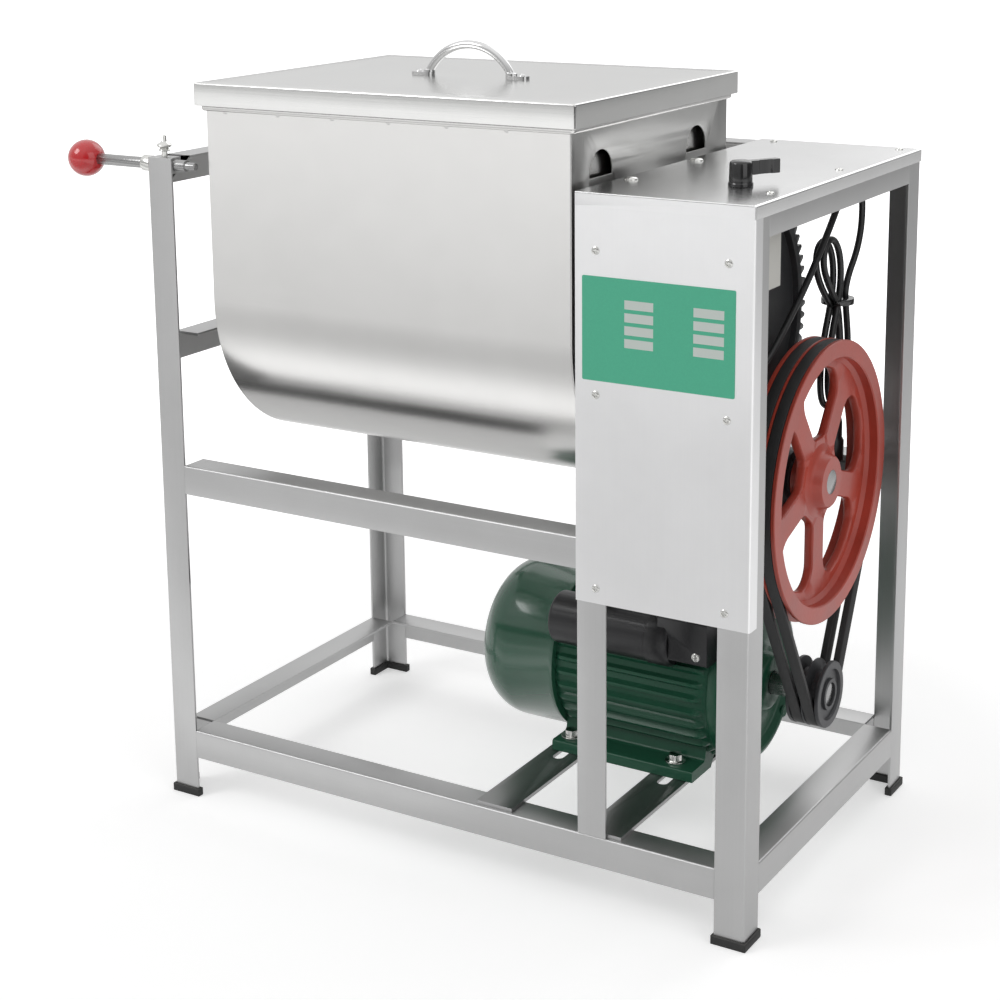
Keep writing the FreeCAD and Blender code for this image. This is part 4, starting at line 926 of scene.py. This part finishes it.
@dataclass
class Drive:
    """Gears, mixing arm, two-groove pulleys and the two V belts."""

    pulley_left: float = 651.0
    pulley_width: float = 36.0
    big_radius: float = 145.0
    small_radius: float = 35.0
    rim_edge: float = 0.8
    groove_pitch: float = 15.0
    groove_top: float = 13.4
    groove_depth: float = 11.0
    slope: float = math.tan(math.radians(19.0))
    rim_inner: float = 127.0
    web_back: float = 12.0
    web: float = 10.0
    web_inner: float = 30.0
    windows: int = 5
    window_inner: float = 46.0
    window_outer: float = 117.0
    window_radii: tuple = (12.0, 22.0, 60.0, 22.0, 12.0)
    window_edge: float = 1.5
    spoke_half: float = 14.0
    rim: tuple = ((36, 128.2), (34.8, 127), (26, 127), (22, 123), (12, 123), (9, 127), (0, 127))
    hub: tuple = (
        (1, 12.6), (1, 27), (8, 28), (12, 34), (22, 38), (24, 31.5), (27, 29), (33.4, 27), (35, 25.4),
        (35, 12.6),
    )
    small: tuple = ((36, 27), (33, 26), (33, 17), (36, 16.5), (36, 12.6), (0, 12.6))
    counter: tuple[float, float] = (228.93, 404.0)
    motor: tuple[float, float] = (238.0, 172.0)
    belt_height: float = 8.0
    belt_sink: float = 0.5
    belt_clear: float = 0.3

    def grooves(self) -> tuple[float, float]:
        """Places of both grooves along X."""
        middle = self.pulley_left + self.pulley_width / 2
        return middle - self.groove_pitch / 2, middle + self.groove_pitch / 2

    def groove_line(self, radius: float) -> Array:
        """Outer (x, r) line of a two-groove rim, left to right, with eased corners."""
        half = self.groove_top / 2
        low = half - self.groove_depth * self.slope
        left, right, eased = self.pulley_left, self.pulley_left + self.pulley_width, radius - self.rim_edge
        line = [(left, eased), (left + self.rim_edge, radius)]
        for x in self.grooves():
            line += [(x - half, radius), (x - low, radius - self.groove_depth)]
            line += [(x + low, radius - self.groove_depth), (x + half, radius)]
        return np.array(line + [(right - self.rim_edge, radius), (right, eased)])

    def window_line(self) -> Array:
        """One window's outline about the X axis, its middle towards +Y."""
        half = math.pi / self.windows
        radii = (self.window_inner, self.window_outer)
        inner, outer = (polar(half - math.asin(self.spoke_half / r), r) for r in radii)
        mirror = np.array([1, -1])
        corners = [inner * mirror, outer * mirror, (self.window_outer + 2.0, 0.0), outer, inner]
        return rounded(corners, self.window_radii, 11)

    def web_sector(self, turn: float) -> Array:
        """Grid over one sector of the web: round its window, and from back to front.

        Each window point is joined to the sector's edge along its own direction
        from the window's middle, and the window's wall is a half circle. The
        edge is the first of the rim, both sides of the sector and the hub.

        Args:
            turn: direction of the window's middle about the X axis, in radians.

        Returns:
            (rings, columns, 3) points.
        """
        window = self.window_line()
        middle = np.array([window[:, 0].mean(), 0.0])
        length = np.linalg.norm(window - middle, axis=1)
        ray = unit(window - middle)
        along = ray @ middle
        spare = along**2 - middle @ middle
        reach = np.sqrt(spare + (self.rim_inner + 1.0) ** 2) - along
        for side in (-1, 1):
            normal = polar(side * (math.pi / 2 - math.pi / self.windows))
            slant = np.maximum(-(ray @ normal), TINY)
            reach = np.minimum(reach, middle @ normal / slant)
        root = spare + self.web_inner**2
        hub = -along - np.sqrt(np.maximum(root, 0))
        reach = np.where((root > 0) & (along < 0), np.minimum(reach, hub), reach)
        edge = middle + ray * reach[:, None]
        bulge = arc(-90, 90, 7)
        wall = [middle + ray * (length + step)[:, None] for step in self.window_edge * (1 - np.cos(bulge))]
        depth = self.web * np.hstack([0, (np.sin(bulge) + 1) / 2, 1])
        flat = rotated(np.stack([edge, *wall, edge]), turn) + self.counter
        return lifted(flat, (self.pulley_left + self.web_back + depth)[:, None], Axis.X)

    def build_pulleys(self) -> None:
        """Rim, web and hub of the big pulley, then the small one."""
        left = self.pulley_left
        form = Form("big_pulley_casting")
        line = np.vstack([self.groove_line(self.big_radius), moved(self.rim, left)])
        form.turned(line, self.counter, Axis.X, 160, True)
        for turn in range(self.windows):
            form.grid(self.web_sector(math.radians(90 + 360 * turn / self.windows)))
        form.turned(moved(self.hub, left), self.counter, Axis.X, 64, True)
        form.piece("countershaft", PULLEY_RED, "big_pulley", sharp=42.0)
        line = np.vstack([self.groove_line(self.small_radius), moved(self.small, left)])
        form = Form("small_pulley_turned").turned(line, self.motor, Axis.X, 72, True)
        form.piece("rotor", DARK_IRON, "small_pulley", sharp=42.0)

    def belt_loop(self) -> tuple[Array, Array]:
        """Belt line round both pulleys and its outward normals, in the plane x = 0."""
        big, small = self.big_radius - self.belt_sink, self.small_radius - self.belt_sink
        line = np.subtract(self.motor, self.counter)
        heading = math.atan2(line[1], line[0])
        spread = math.acos((big - small) / np.linalg.norm(line))
        first = polar(np.linspace(heading + spread, heading + 2 * math.pi - spread, 90))
        second = polar(np.linspace(heading - spread, heading + spread, 30))
        points = np.vstack([self.counter + big * first, self.motor + small * second])
        return lifted(points, 0.0, Axis.X), lifted(np.vstack([first, second]), 0.0, Axis.X)

    def build_belts(self) -> None:
        """Two trapezoid sections carried round the loop."""
        path, normal = self.belt_loop()
        clear = self.belt_clear / math.cos(math.atan(self.slope))
        top, deep = self.groove_top / 2 - self.belt_sink * self.slope - clear, -self.belt_height
        low = top + deep * self.slope
        section = rounded([(-top, 0), (top, 0), (low, deep), (-low, deep)], 0.8, 3)
        form = Form("v_belts")
        for x in self.grooves():
            form.carried(path + (x, 0.0, 0.0), normal, np.array([1.0, 0.0, 0.0]), section)
        form.piece("frame", BELT, "drive_belts", sharp=60.0)

    def build(self) -> None:
        """Everything that the motor turns, with the bearings."""
        self.build_pulleys()
        self.build_belts()
        recut("big_gear", "agitator", GEAR_IRON, 0.3, 28.0)
        recut("mixing_shaft", "agitator", SHAFT_STEEL, 0.8)
        recut("mixing_arm", "agitator", BOWL_STEEL, 0.5)
        recut("pinion_shaft", "countershaft", SHAFT_STEEL, 0.3)
        recut("motor_shaft", "rotor", SHAFT_STEEL, 0.8)
        for node in ("shaft_bearings", "counter_bearings"):
            recut(node, "frame", BLOCK_IRON, 0.8)
        recut("bearing_bolts", "frame", SCREW, 0.3)


@dataclass
class Motor:
    """Finned foot motor with its fan cover and capacitor cover."""

    axis: tuple[float, float] = (238.0, 172.0)
    core: float = 82.0
    fin_height: float = 6.0
    fins: int = 34
    left: float = 405.0
    right: float = 590.0
    cover_left: float = 300.0
    cover_radius: float = 89.5
    cover_depth: float = 46.0
    cover_flat: float = 0.52
    lip: tuple = ((-6, 89.5), (-4.5, 90.4), (-0.5, 90.4), (0, 89.5), (0, 0))
    slots: int = 24
    slot_size: tuple = ((14.0, -2.0), (42.0, 2.0))
    bell_right: float = 612.0
    bell: tuple = (
        (-28, 0), (-28, 84), (-25, 87), (-16, 88), (-8, 88), (-5, 86.8), (-1.5, 83), (0, 78), (-1, 75),
        (-5, 70), (-6, 66), (-6, 40), (-3, 35), (0, 32), (8, 29), (10, 26), (10, 12.6), (-4, 12.6), (-4, 0),
    )
    bolt: tuple = ((-12, 7), (-1, 7), (0.5, 5.5), (0.5, 0))
    bolt_circle: float = 79.0
    foot_right: float = 572.0
    foot_half: float = 90.0
    base: float = 82.0
    foot: tuple = ((0, 0), (0, 12), (31, 12), (38, 46), (58, 32), (54, 12), (46, 0))
    foot_radii: tuple = (1.0, 2.5, 5.0, 3.0, 3.0, 3.0, 1.0)
    cap_ends: tuple[float, float] = (408.0, 548.0)
    cap_radius: float = 28.0
    cap_edge: float = 9.0
    band: tuple = ((-26, 28), (-25, 29.3), (-4, 29.3), (0, 26), (0, 0))
    cap_centre: tuple[float, float] = (160.0, 232.0)

    def housing(self) -> Array:
        """Finned barrel: radius = core + ridge over the angle, faded out at both ends."""
        x = np.linspace(self.left, self.right, 48)[:, None]
        angle = whole_turn(self.fins * 10)[None]
        ridge = np.clip(1.6 * np.cos(angle * self.fins) - 0.35, 0, 1) ** 0.6
        fade = np.clip((x - self.left - 2) / 5, 0, 1) * np.clip((self.right - 12 - x) / 9, 0, 1)
        radius = self.core + self.fin_height * ridge * np.sqrt(fade)
        return lifted(polar(angle, radius) + self.axis, x, Axis.X)

    def build(self) -> None:
        """Barrel, feet, end bell with its bolts, fan cover, capacitor cover and foot bolts."""
        form = Form("motor_housing").grid(self.housing(), caps=True)
        for side in (-1, 1):
            y = self.axis[0] + side * self.foot_half
            foot = [(y - side * inward, self.base + up) for inward, up in self.foot]
            form.prism(rounded(foot, self.foot_radii, 4), self.left, self.foot_right, Axis.X)
        form.turned(moved(self.bell, self.bell_right), self.axis, Axis.X, 96)
        for place in polar(arc(45, 315, 4), self.bolt_circle) + self.axis:
            form.turned(moved(self.bolt, self.bell_right), place, Axis.X, 20)
        form.piece("frame", MOTOR_GREEN, "motor_body", sharp=40.0)
        self.build_cover()
        self.build_capacitor()
        recut("motor_bolts", "frame", SCREW, 0.4)

    def build_cover(self) -> None:
        """Fan cover: a bowed end with slots, a straight skirt and a rolled lip; the slots are dark prisms
        that paint the shade seen through them.
        """
        angle = arc(0, 90, 22)
        left = self.cover_left
        bow = self.cover_radius * (self.cover_flat + (1 - self.cover_flat) * np.sin(angle))
        dome = np.stack([left + self.cover_depth * (1 - np.cos(angle)), bow], -1)
        profile = np.vstack([[(left, 0.0)], dome, moved(self.lip, self.left)])
        form = Form("fan_cover_shell").turned(profile, self.axis, Axis.X, 96)
        form.piece("frame", COVER_GREEN, "fan_cover", sharp=50.0)
        # Painted shade: the slots are not cut, and dark prisms on the end stand for the shade seen through
        # them.
        form = Form("fan_cover_slot_shade")
        for turn in whole_turn(self.slots):
            outline = rotated(four_corners(*self.slot_size), turn) + self.axis
            form.prism(outline, left - 0.15, left + 0.5, Axis.X)
        form.piece("frame", SEAM_AND_SLOT_SHADE)

    def build_capacitor(self) -> None:
        """Black cylinder with eased ends, a band and a terminal hood with its screw."""
        low, high = span("capacitor_cover")
        (left, end), r, edge = self.cap_ends, self.cap_radius, self.cap_edge
        start = (left + edge, r - edge) + polar(arc(180, 90, 8), edge)
        profile = np.vstack([[(left, 0.0)], start, moved(self.band, end)])
        form = Form("capacitor_hood").turned(profile, self.cap_centre, Axis.X, 56)
        form.piece("frame", COVER_BLACK, sharp=40.0)
        recut("capacitor_cover", "frame", COVER_BLACK, 1.5)
        screw = ScrewHeads(5.0, 2.4).facing_front(high[0] - 12, low[1] + 6, low[2] + 22)
        Form("capacitor_screw").grid(screw).piece("frame", SCREW)


@dataclass
class SwitchAndLatch:
    """Drum switch with its lever, and the latch that holds the bowl."""

    hub: tuple = ((-24, 0), (-24, 12), (-21, 12), (-20.4, 11.2), (-2.6, 10.8), (-1, 10), (0, 8.4), (0, 0))
    stem_top: float = -23.0
    stem_radius: float = 4.0
    lever: tuple = (
        (0, -4.5), (16, -4.5), (19, -2.9), (31, -2.9), (33, -4.5), (42, -4.5), (42, 4.5), (0, 4.5),
    )
    lever_radii: tuple = (1, 1, 1, 1, 1, 2, 2, 1)
    lever_angle: float = 58.0
    clamp_stem: float = 3.0
    clamp_line: tuple = (
        (-17, 3), (-16.5, 5.5), (-15.5, 6.2), (-14.5, 5.5), (-13, 4.2), (-12, 7.2), (-10.5, 8), (-9, 7.2),
        (-7.8, 4.4), (-6.4, 3.4), (-5.6, 2.6), (-1, 2.6), (0, 1.8), (0, 0),
    )

    def build_switch(self) -> None:
        """Moulded body, round hub and stepped lever."""
        recut("switch_body", "frame", SWITCH_CREAM, 1.0)
        low, high = span("switch_body")
        x, y, _ = (low + high) / 2
        top = span("switch_knob")[1][2]
        form = Form("switch_lever").turned(moved(self.hub, top), (x, y), Axis.Z, 56)
        outline = rotated(rounded(self.lever, self.lever_radii, 3), math.radians(self.lever_angle))
        form.prism(outline + (x, y), top - 14.0, top - 0.6, Axis.Z)
        foot, end, r = low[2], top + self.stem_top, self.stem_radius
        form.turned([(foot, 0), (foot, r), (end, r), (end, 0)], (x, y), Axis.Z, 16)
        form.piece("switch_lever", KNOB_BLACK, "switch_knob", bevel=0.5, sharp=38.0)

    def build_latch(self) -> None:
        """Rod with a stepped tip, glossy ball, collar, guide block and clamp screw."""
        low, high = span("latch_ball")
        radius = (high[1] - low[1]) / 2
        profile = polar(arc(180, 0, 49), radius) + (low[0] + radius, 0)
        form = Form("latch_ball_moulded").turned(profile, (low + high)[1:] / 2, Axis.X, 64)
        form.piece("latch", BALL, "latch_ball")
        recut("latch_rod", "latch", SHAFT_STEEL, 0.4)
        recut("latch_collar", "frame", SCREW, 0.5)
        recut("latch_block", "frame", FRAME_STEEL[Axis.X], 0.4)
        low, high = span("clamp_screw")
        line = np.vstack([[(low[2], 0), (low[2], self.clamp_stem)], moved(self.clamp_line, high[2])])
        form = Form("clamp_screw_turned").turned(line, (low + high)[:2] / 2, Axis.Z, 40)
        form.piece("clamp", SCREW, "clamp_screw", sharp=50.0)

    def build(self) -> None:
        """Switch, then latch."""
        self.build_switch()
        self.build_latch()


@dataclass
class Cables:
    """Supply lead with its tied hank and plug, and the motor lead."""

    radius: float = 3.5
    supply: tuple = (
        (645, 104, 622), (645, 104, 592), (646, 108, 556), (648, 134, 534),
        (648, 190, 566), (648, 243, 601), (648, 296, 645), (648, 336, 684),
        (648, 370, 700), (648, 393, 672), (648, 388, 622), (640, 366, 578),
    )
    hank_turn: tuple = (
        (374, 546), (381, 515), (380, 478), (366, 455), (345, 450), (328, 463),
        (325, 492), (333, 528), (349, 560), (357, 590), (350, 619), (330, 636),
        (310, 630), (306, 610), (320, 588), (346, 564),
    )
    hank_shifts: tuple = ((639.8, 0), (632.2, -2))
    tail: tuple = ((636, 364, 538), (636, 364, 500), (636, 356, 472), (636, 356, 448))
    motor: tuple = (
        (458, 160, 260), (458, 160, 287), (431, 159, 301), (404, 147, 309),
        (402, 119, 319), (428, 101, 328), (462, 103, 338), (496, 105, 358),
        (530, 98, 384), (576, 78, 410), (612, 56, 452), (634, 50, 508),
        (642, 62, 562), (643, 75, 592), (643, 75, 622),
    )
    sleeve_length: float = 30.0
    sleeve_radius: float = 7.2
    sleeve_taper: float = 3.0
    sleeve_bore: float = 3.45
    ring_depth: float = 0.55

    def supply_route(self) -> tuple:
        """Control points of the supply lead: out of the switch, round the hank's turns and to the plug."""
        turns = tuple((x, y + shift, z + shift) for x, shift in self.hank_shifts for y, z in self.hank_turn)
        return self.supply + turns + self.tail

    def relief(self, name: str, place: tuple, way: float) -> bpy.types.Object:
        """Tapered and ringed sleeve on a lead at its housing.

        Args:
            name: the piece's name.
            place: where the lead leaves the housing.
            way: 1 where the sleeve points up and -1 where it points down.

        Returns:
            The piece.
        """
        share = np.linspace(0.0, 1.0, 46)
        ring = np.cos(share * 14 * math.pi) < -0.2
        radius = self.sleeve_radius - self.sleeve_taper * share - self.ring_depth * ring
        along = place[2] + way * self.sleeve_length * share
        bore = [(end, self.sleeve_bore) for end in along[[-1, 0]]]
        profile = np.vstack([np.stack([along, radius], -1), bore])
        return Form(name).turned(profile, place[:2], Axis.Z, 32, True).piece("frame", CABLE)

    def route(self, name: str, points: tuple, *nodes: str) -> bpy.types.Object:
        """A round lead on one smooth curve through its control points."""
        curve = bpy.data.curves.new(name, "CURVE")
        curve.dimensions = "3D"
        curve.bevel_depth = self.radius * MM
        curve.bevel_resolution = 5
        curve.resolution_u = 12
        curve.use_fill_caps = True
        spline = curve.splines.new("NURBS")
        spline.points.add(len(points) - 1)
        for point, place in zip(spline.points, placed(np.array(points))):
            point.co = (*place, 1.0)
        spline.order_u = 3
        spline.use_endpoint_u = True
        lead = linked(name, curve)
        curve.materials.append(CABLE.material())
        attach(lead, "frame")
        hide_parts(*nodes)
        return lead

    @staticmethod
    def length(points: tuple) -> float:
        """Length of the smooth curve, in metres, from quadratic pieces between run middles."""
        path = placed(np.array(points))
        middle = (path[:-1] + path[1:]) / 2
        middle[0], middle[-1] = path[0], path[-1]
        t = np.linspace(0, 1, 24)[None, :, None]
        a, b, c = middle[:-1, None], path[1:-1, None], middle[1:, None]
        curve = (1 - t) ** 2 * a + 2 * t * (1 - t) * b + t**2 * c
        return float(np.linalg.norm(np.diff(curve, axis=1), axis=2).sum())

    def build(self) -> None:
        """Leads with their sleeves, tie and plug."""
        tie = recut("cable_tie", "frame", KNOB_BLACK, 0.3)
        plug = recut("lead_plug", "frame", CABLE, 0.6)
        points = self.supply_route()
        sleeve = self.relief("supply_lead_sleeve", points[0], -1.0)
        supply = self.route("supply_lead_sheath", points, "supply_lead", "lead_hank")
        self.length(points)
        points = self.motor
        sleeves = [
            self.relief("motor_lead_lower_sleeve", points[0], 1.0),
            self.relief("motor_lead_upper_sleeve", points[-1], -1.0),
        ]
        lead = self.route("motor_lead_sheath", points, "motor_lead")
        self.length(points)


@dataclass
class Studio:
    """Floor, cards of painted shade and painted reflection, surroundings, soft lamps and camera, in the
    frame's metres.

    The camera alone is placed in working millimetres. The floor's ramp holds
    the light that mirroring surfaces meet at each y.
    """

    azimuth: float = 31.42
    elevation: float = 11.93
    roll: float = -0.60
    eye: tuple[float, float, float] = (1427.48, -1624.52, 1011.62)
    focal_pixels: float = 2028.90
    picture: float = 1000.0
    sensor: float = 36.0
    centre_row: float = 300.0
    half_floor: float = 30.0
    reach: float = 6.0
    mirrored_floor: tuple = (
        (-5.5, 1.0), (-4.7, 0.96), (-4.2, 0.84), (-3.7, 0.72), (-3.1, 0.55), (-2.6, 0.45), (-2.1, 0.38),
        (-1.5, 0.26), (-1.0, 0.25), (-0.75, 0.42), (-0.58, 0.74), (-0.5, 0.9), (-0.38, 0.95), (-0.31, 0.55),
        (-0.12, 0.46), (0.6, 0.6), (1.2, 0.5), (1.8, 0.36), (3.0, 0.18),
    )
    right_light: float = 0.44
    corner_light: float = 0.8
    white_from: float = 0.6
    white_over: float = 1.5
    # Cards below the bowl, seen only in reflections: the dark one paints the shade under the machine, and the
    # grey one glows as a painted reflection.
    cards: tuple = (
        ("painted_shade_card", (-0.46, -0.205), (0.04, -0.13), 0.03),
        ("painted_reflection_card", (-0.46, -0.125), (0.04, 0.15), 0.62),
    )
    card_height: float = 0.25
    horizon: float = 0.70
    overhead: float = 1.15
    dark_side: float = 0.14
    fill_light: float = 0.5
    aim: tuple = (0.0, 0.0, 0.4)
    lamps: tuple = (
        ("key", (-2.2, -2.6, 3.0), 1.7, 40.0),
        ("fill", (3.0, -1.2, 1.9), 2.4, 18.0),
        ("back", (0.6, 2.8, 2.8), 2.6, 22.0),
    )

    @staticmethod
    def sheet(
        name: str, low: tuple, high: tuple, height: float, finish: str
    ) -> tuple[bpy.types.Object, Recipe]:
        """A level sheet of the studio with a material to fill.

        Args:
            name: the object's name.
            low: its lowest x and y.
            high: its highest x and y.
            height: its z.
            finish: the material's name.

        Returns:
            The sheet and its material's recipe.
        """
        mesh = bpy.data.meshes.new(name)
        mesh.from_pydata([(x, y, height) for x, y in four_corners(low, high)], [], [(0, 1, 2, 3)])
        sheet = linked(name, mesh)
        mesh.materials.append(bpy.data.materials.new(finish))
        return sheet, Recipe(mesh.materials[0])

    @staticmethod
    def mirror_rays(recipe: Recipe) -> tuple[Shade, Shade]:
        """1 for rays from a mirroring or clear surface, and 1 for the camera's own."""
        rays = recipe.node("LightPath")
        mirrored = recipe.value(rays, "Is Glossy Ray").larger(recipe.value(rays, "Is Transmission Ray"))
        return mirrored, recipe.value(rays, "Is Camera Ray")

    def build_floor(self) -> None:
        """Pale floor that keeps the shadow and turns white away from it for the camera.

        Mirroring surfaces see the ramp, but an even grey right of the middle
        near the object and a pale patch past its front right corner.
        """
        side = self.half_floor
        _, recipe = self.sheet("floor", (-side, -side), (side, side), 0.0, "floor_paper")
        mirrored, camera = self.mirror_rays(recipe)
        x, y, _ = recipe.parts("TexCoord", "Object")
        away = (((x * x + y * y) ** 0.5 - self.white_from) / self.white_over).clamped()
        # Painted reflection: mirroring surfaces see the floor glow with this ramp, an even grey right of the
        # middle and a pale patch, and see its own colour darkened.
        stops = [((row + self.reach) / (2 * self.reach), grey(light)) for row, light in self.mirrored_floor]
        ramp = recipe.node("ValToRGB", {"stops": stops}, {"Fac": (y + self.reach) / (2 * self.reach)})
        right = x.above(-0.02) * y.above(-0.75) * y.below(-0.12)
        corner = ((x - 0.5) * 2.0).clamped() * y.below(-0.25)
        lit = recipe.mixed(right, recipe.value(ramp), grey(self.right_light))
        lit = recipe.mixed(corner, lit, grey(self.corner_light))
        seen = recipe.mixed(camera * (away * 0.7 + 0.44), grey(0.0), grey(1.0))
        recipe.surface(
            Base_Color=recipe.mixed(mirrored * 0.3, grey(0.80), grey(0.01)),
            Roughness=0.9,
            Emission_Color=recipe.mixed(mirrored, seen, lit),
            Emission_Strength=1.0,
        )

    def build_cards(self) -> None:
        """A dark card that paints the shade under the machine and a grey card that glows as a painted
        reflection, both below the bowl and seen only in reflections.
        """
        for name, low, high, light in self.cards:
            card, recipe = self.sheet(name, low, high, self.card_height, name)
            card.visible_camera = False
            card.visible_diffuse = False
            card.visible_shadow = False
            recipe.surface(
                Base_Color=grey(0.03), Roughness=0.9, Emission_Color=grey(light), Emission_Strength=1.0
            )

    def build_world(self) -> None:
        """White for the camera and even for matt surfaces.

        Mirroring surfaces see a room that is bright overhead and dark to the
        right and a little to the front.
        """
        world = bpy.data.worlds.new("studio")
        bpy.context.scene.world = world
        recipe = Recipe(world)
        mirrored, camera = self.mirror_rays(recipe)
        right, back, up = recipe.parts("TexCoord", "Generated")
        height = (up.larger(0.0) * 1.25).clamped()
        room = recipe.mixed(height, grey(self.horizon), grey(self.overhead))
        side = ((right - 0.15) / 0.3).clamped().larger(((0.0 - back) * 1.4).clamped() * 0.4)
        room = recipe.mixed(side * (1.25 - height).clamped(), room, grey(self.dark_side))
        colour = recipe.mixed(mirrored, grey(self.fill_light), room)
        colour = recipe.mixed(camera, colour, grey(1.0))
        background = recipe.node("Background", inputs={"Color": colour, "Strength": 1.0})
        recipe.node("OutputWorld", inputs={"Surface": background.outputs[0]})

    def build_lamps(self) -> None:
        """Square soft lamps, each turned to the object's middle."""
        for name, place, size, power in self.lamps:
            data = bpy.data.lights.new(name, "AREA")
            data.size = size
            data.energy = power
            lamp = linked(name, data)
            lamp.location = place
            lamp.rotation_euler = (Vector(self.aim) - Vector(place)).to_track_quat("-Z", "Y").to_euler()

    def build_camera(self) -> None:
        """Camera at the photograph's angle, with its focal length in pixels."""
        data = bpy.data.cameras.new("camera")
        data.sensor_width = self.sensor
        data.lens = self.focal_pixels * self.sensor / self.picture
        data.shift_y = (self.centre_row - self.picture / 2) / self.picture
        data.clip_end = 100.0
        camera = linked("camera", data)
        a, e = math.radians(self.azimuth), math.radians(self.elevation)
        back = Vector((math.sin(a) * math.cos(e), -math.cos(a) * math.cos(e), math.sin(e)))
        camera.location = placed(np.array(self.eye))
        camera.rotation_euler = (-back).to_track_quat("-Z", "Y").to_euler()
        camera.rotation_euler.rotate_axis("Z", math.radians(self.roll))
        bpy.context.scene.camera = camera

    def build(self) -> None:
        """Camera first, then the room."""
        self.build_camera()
        self.build_floor()
        self.build_cards()
        self.build_world()
        self.build_lamps()
        bpy.context.scene.view_settings.view_transform = "Standard"


def main() -> None:
    """Builds the studio and every sub-assembly."""
    logging.basicConfig(level=logging.INFO, format="%(message)s")
    for part in (
        Studio(), Cables(), AngleFrame(), Covers(), ScrewHeads(), Bowl(), Lid(), Drive(), Motor(),
        SwitchAndLatch(),
    ):
        part.build()
        LOG.info("built %s", type(part).__name__)


if __name__ == "__main__":
    main()
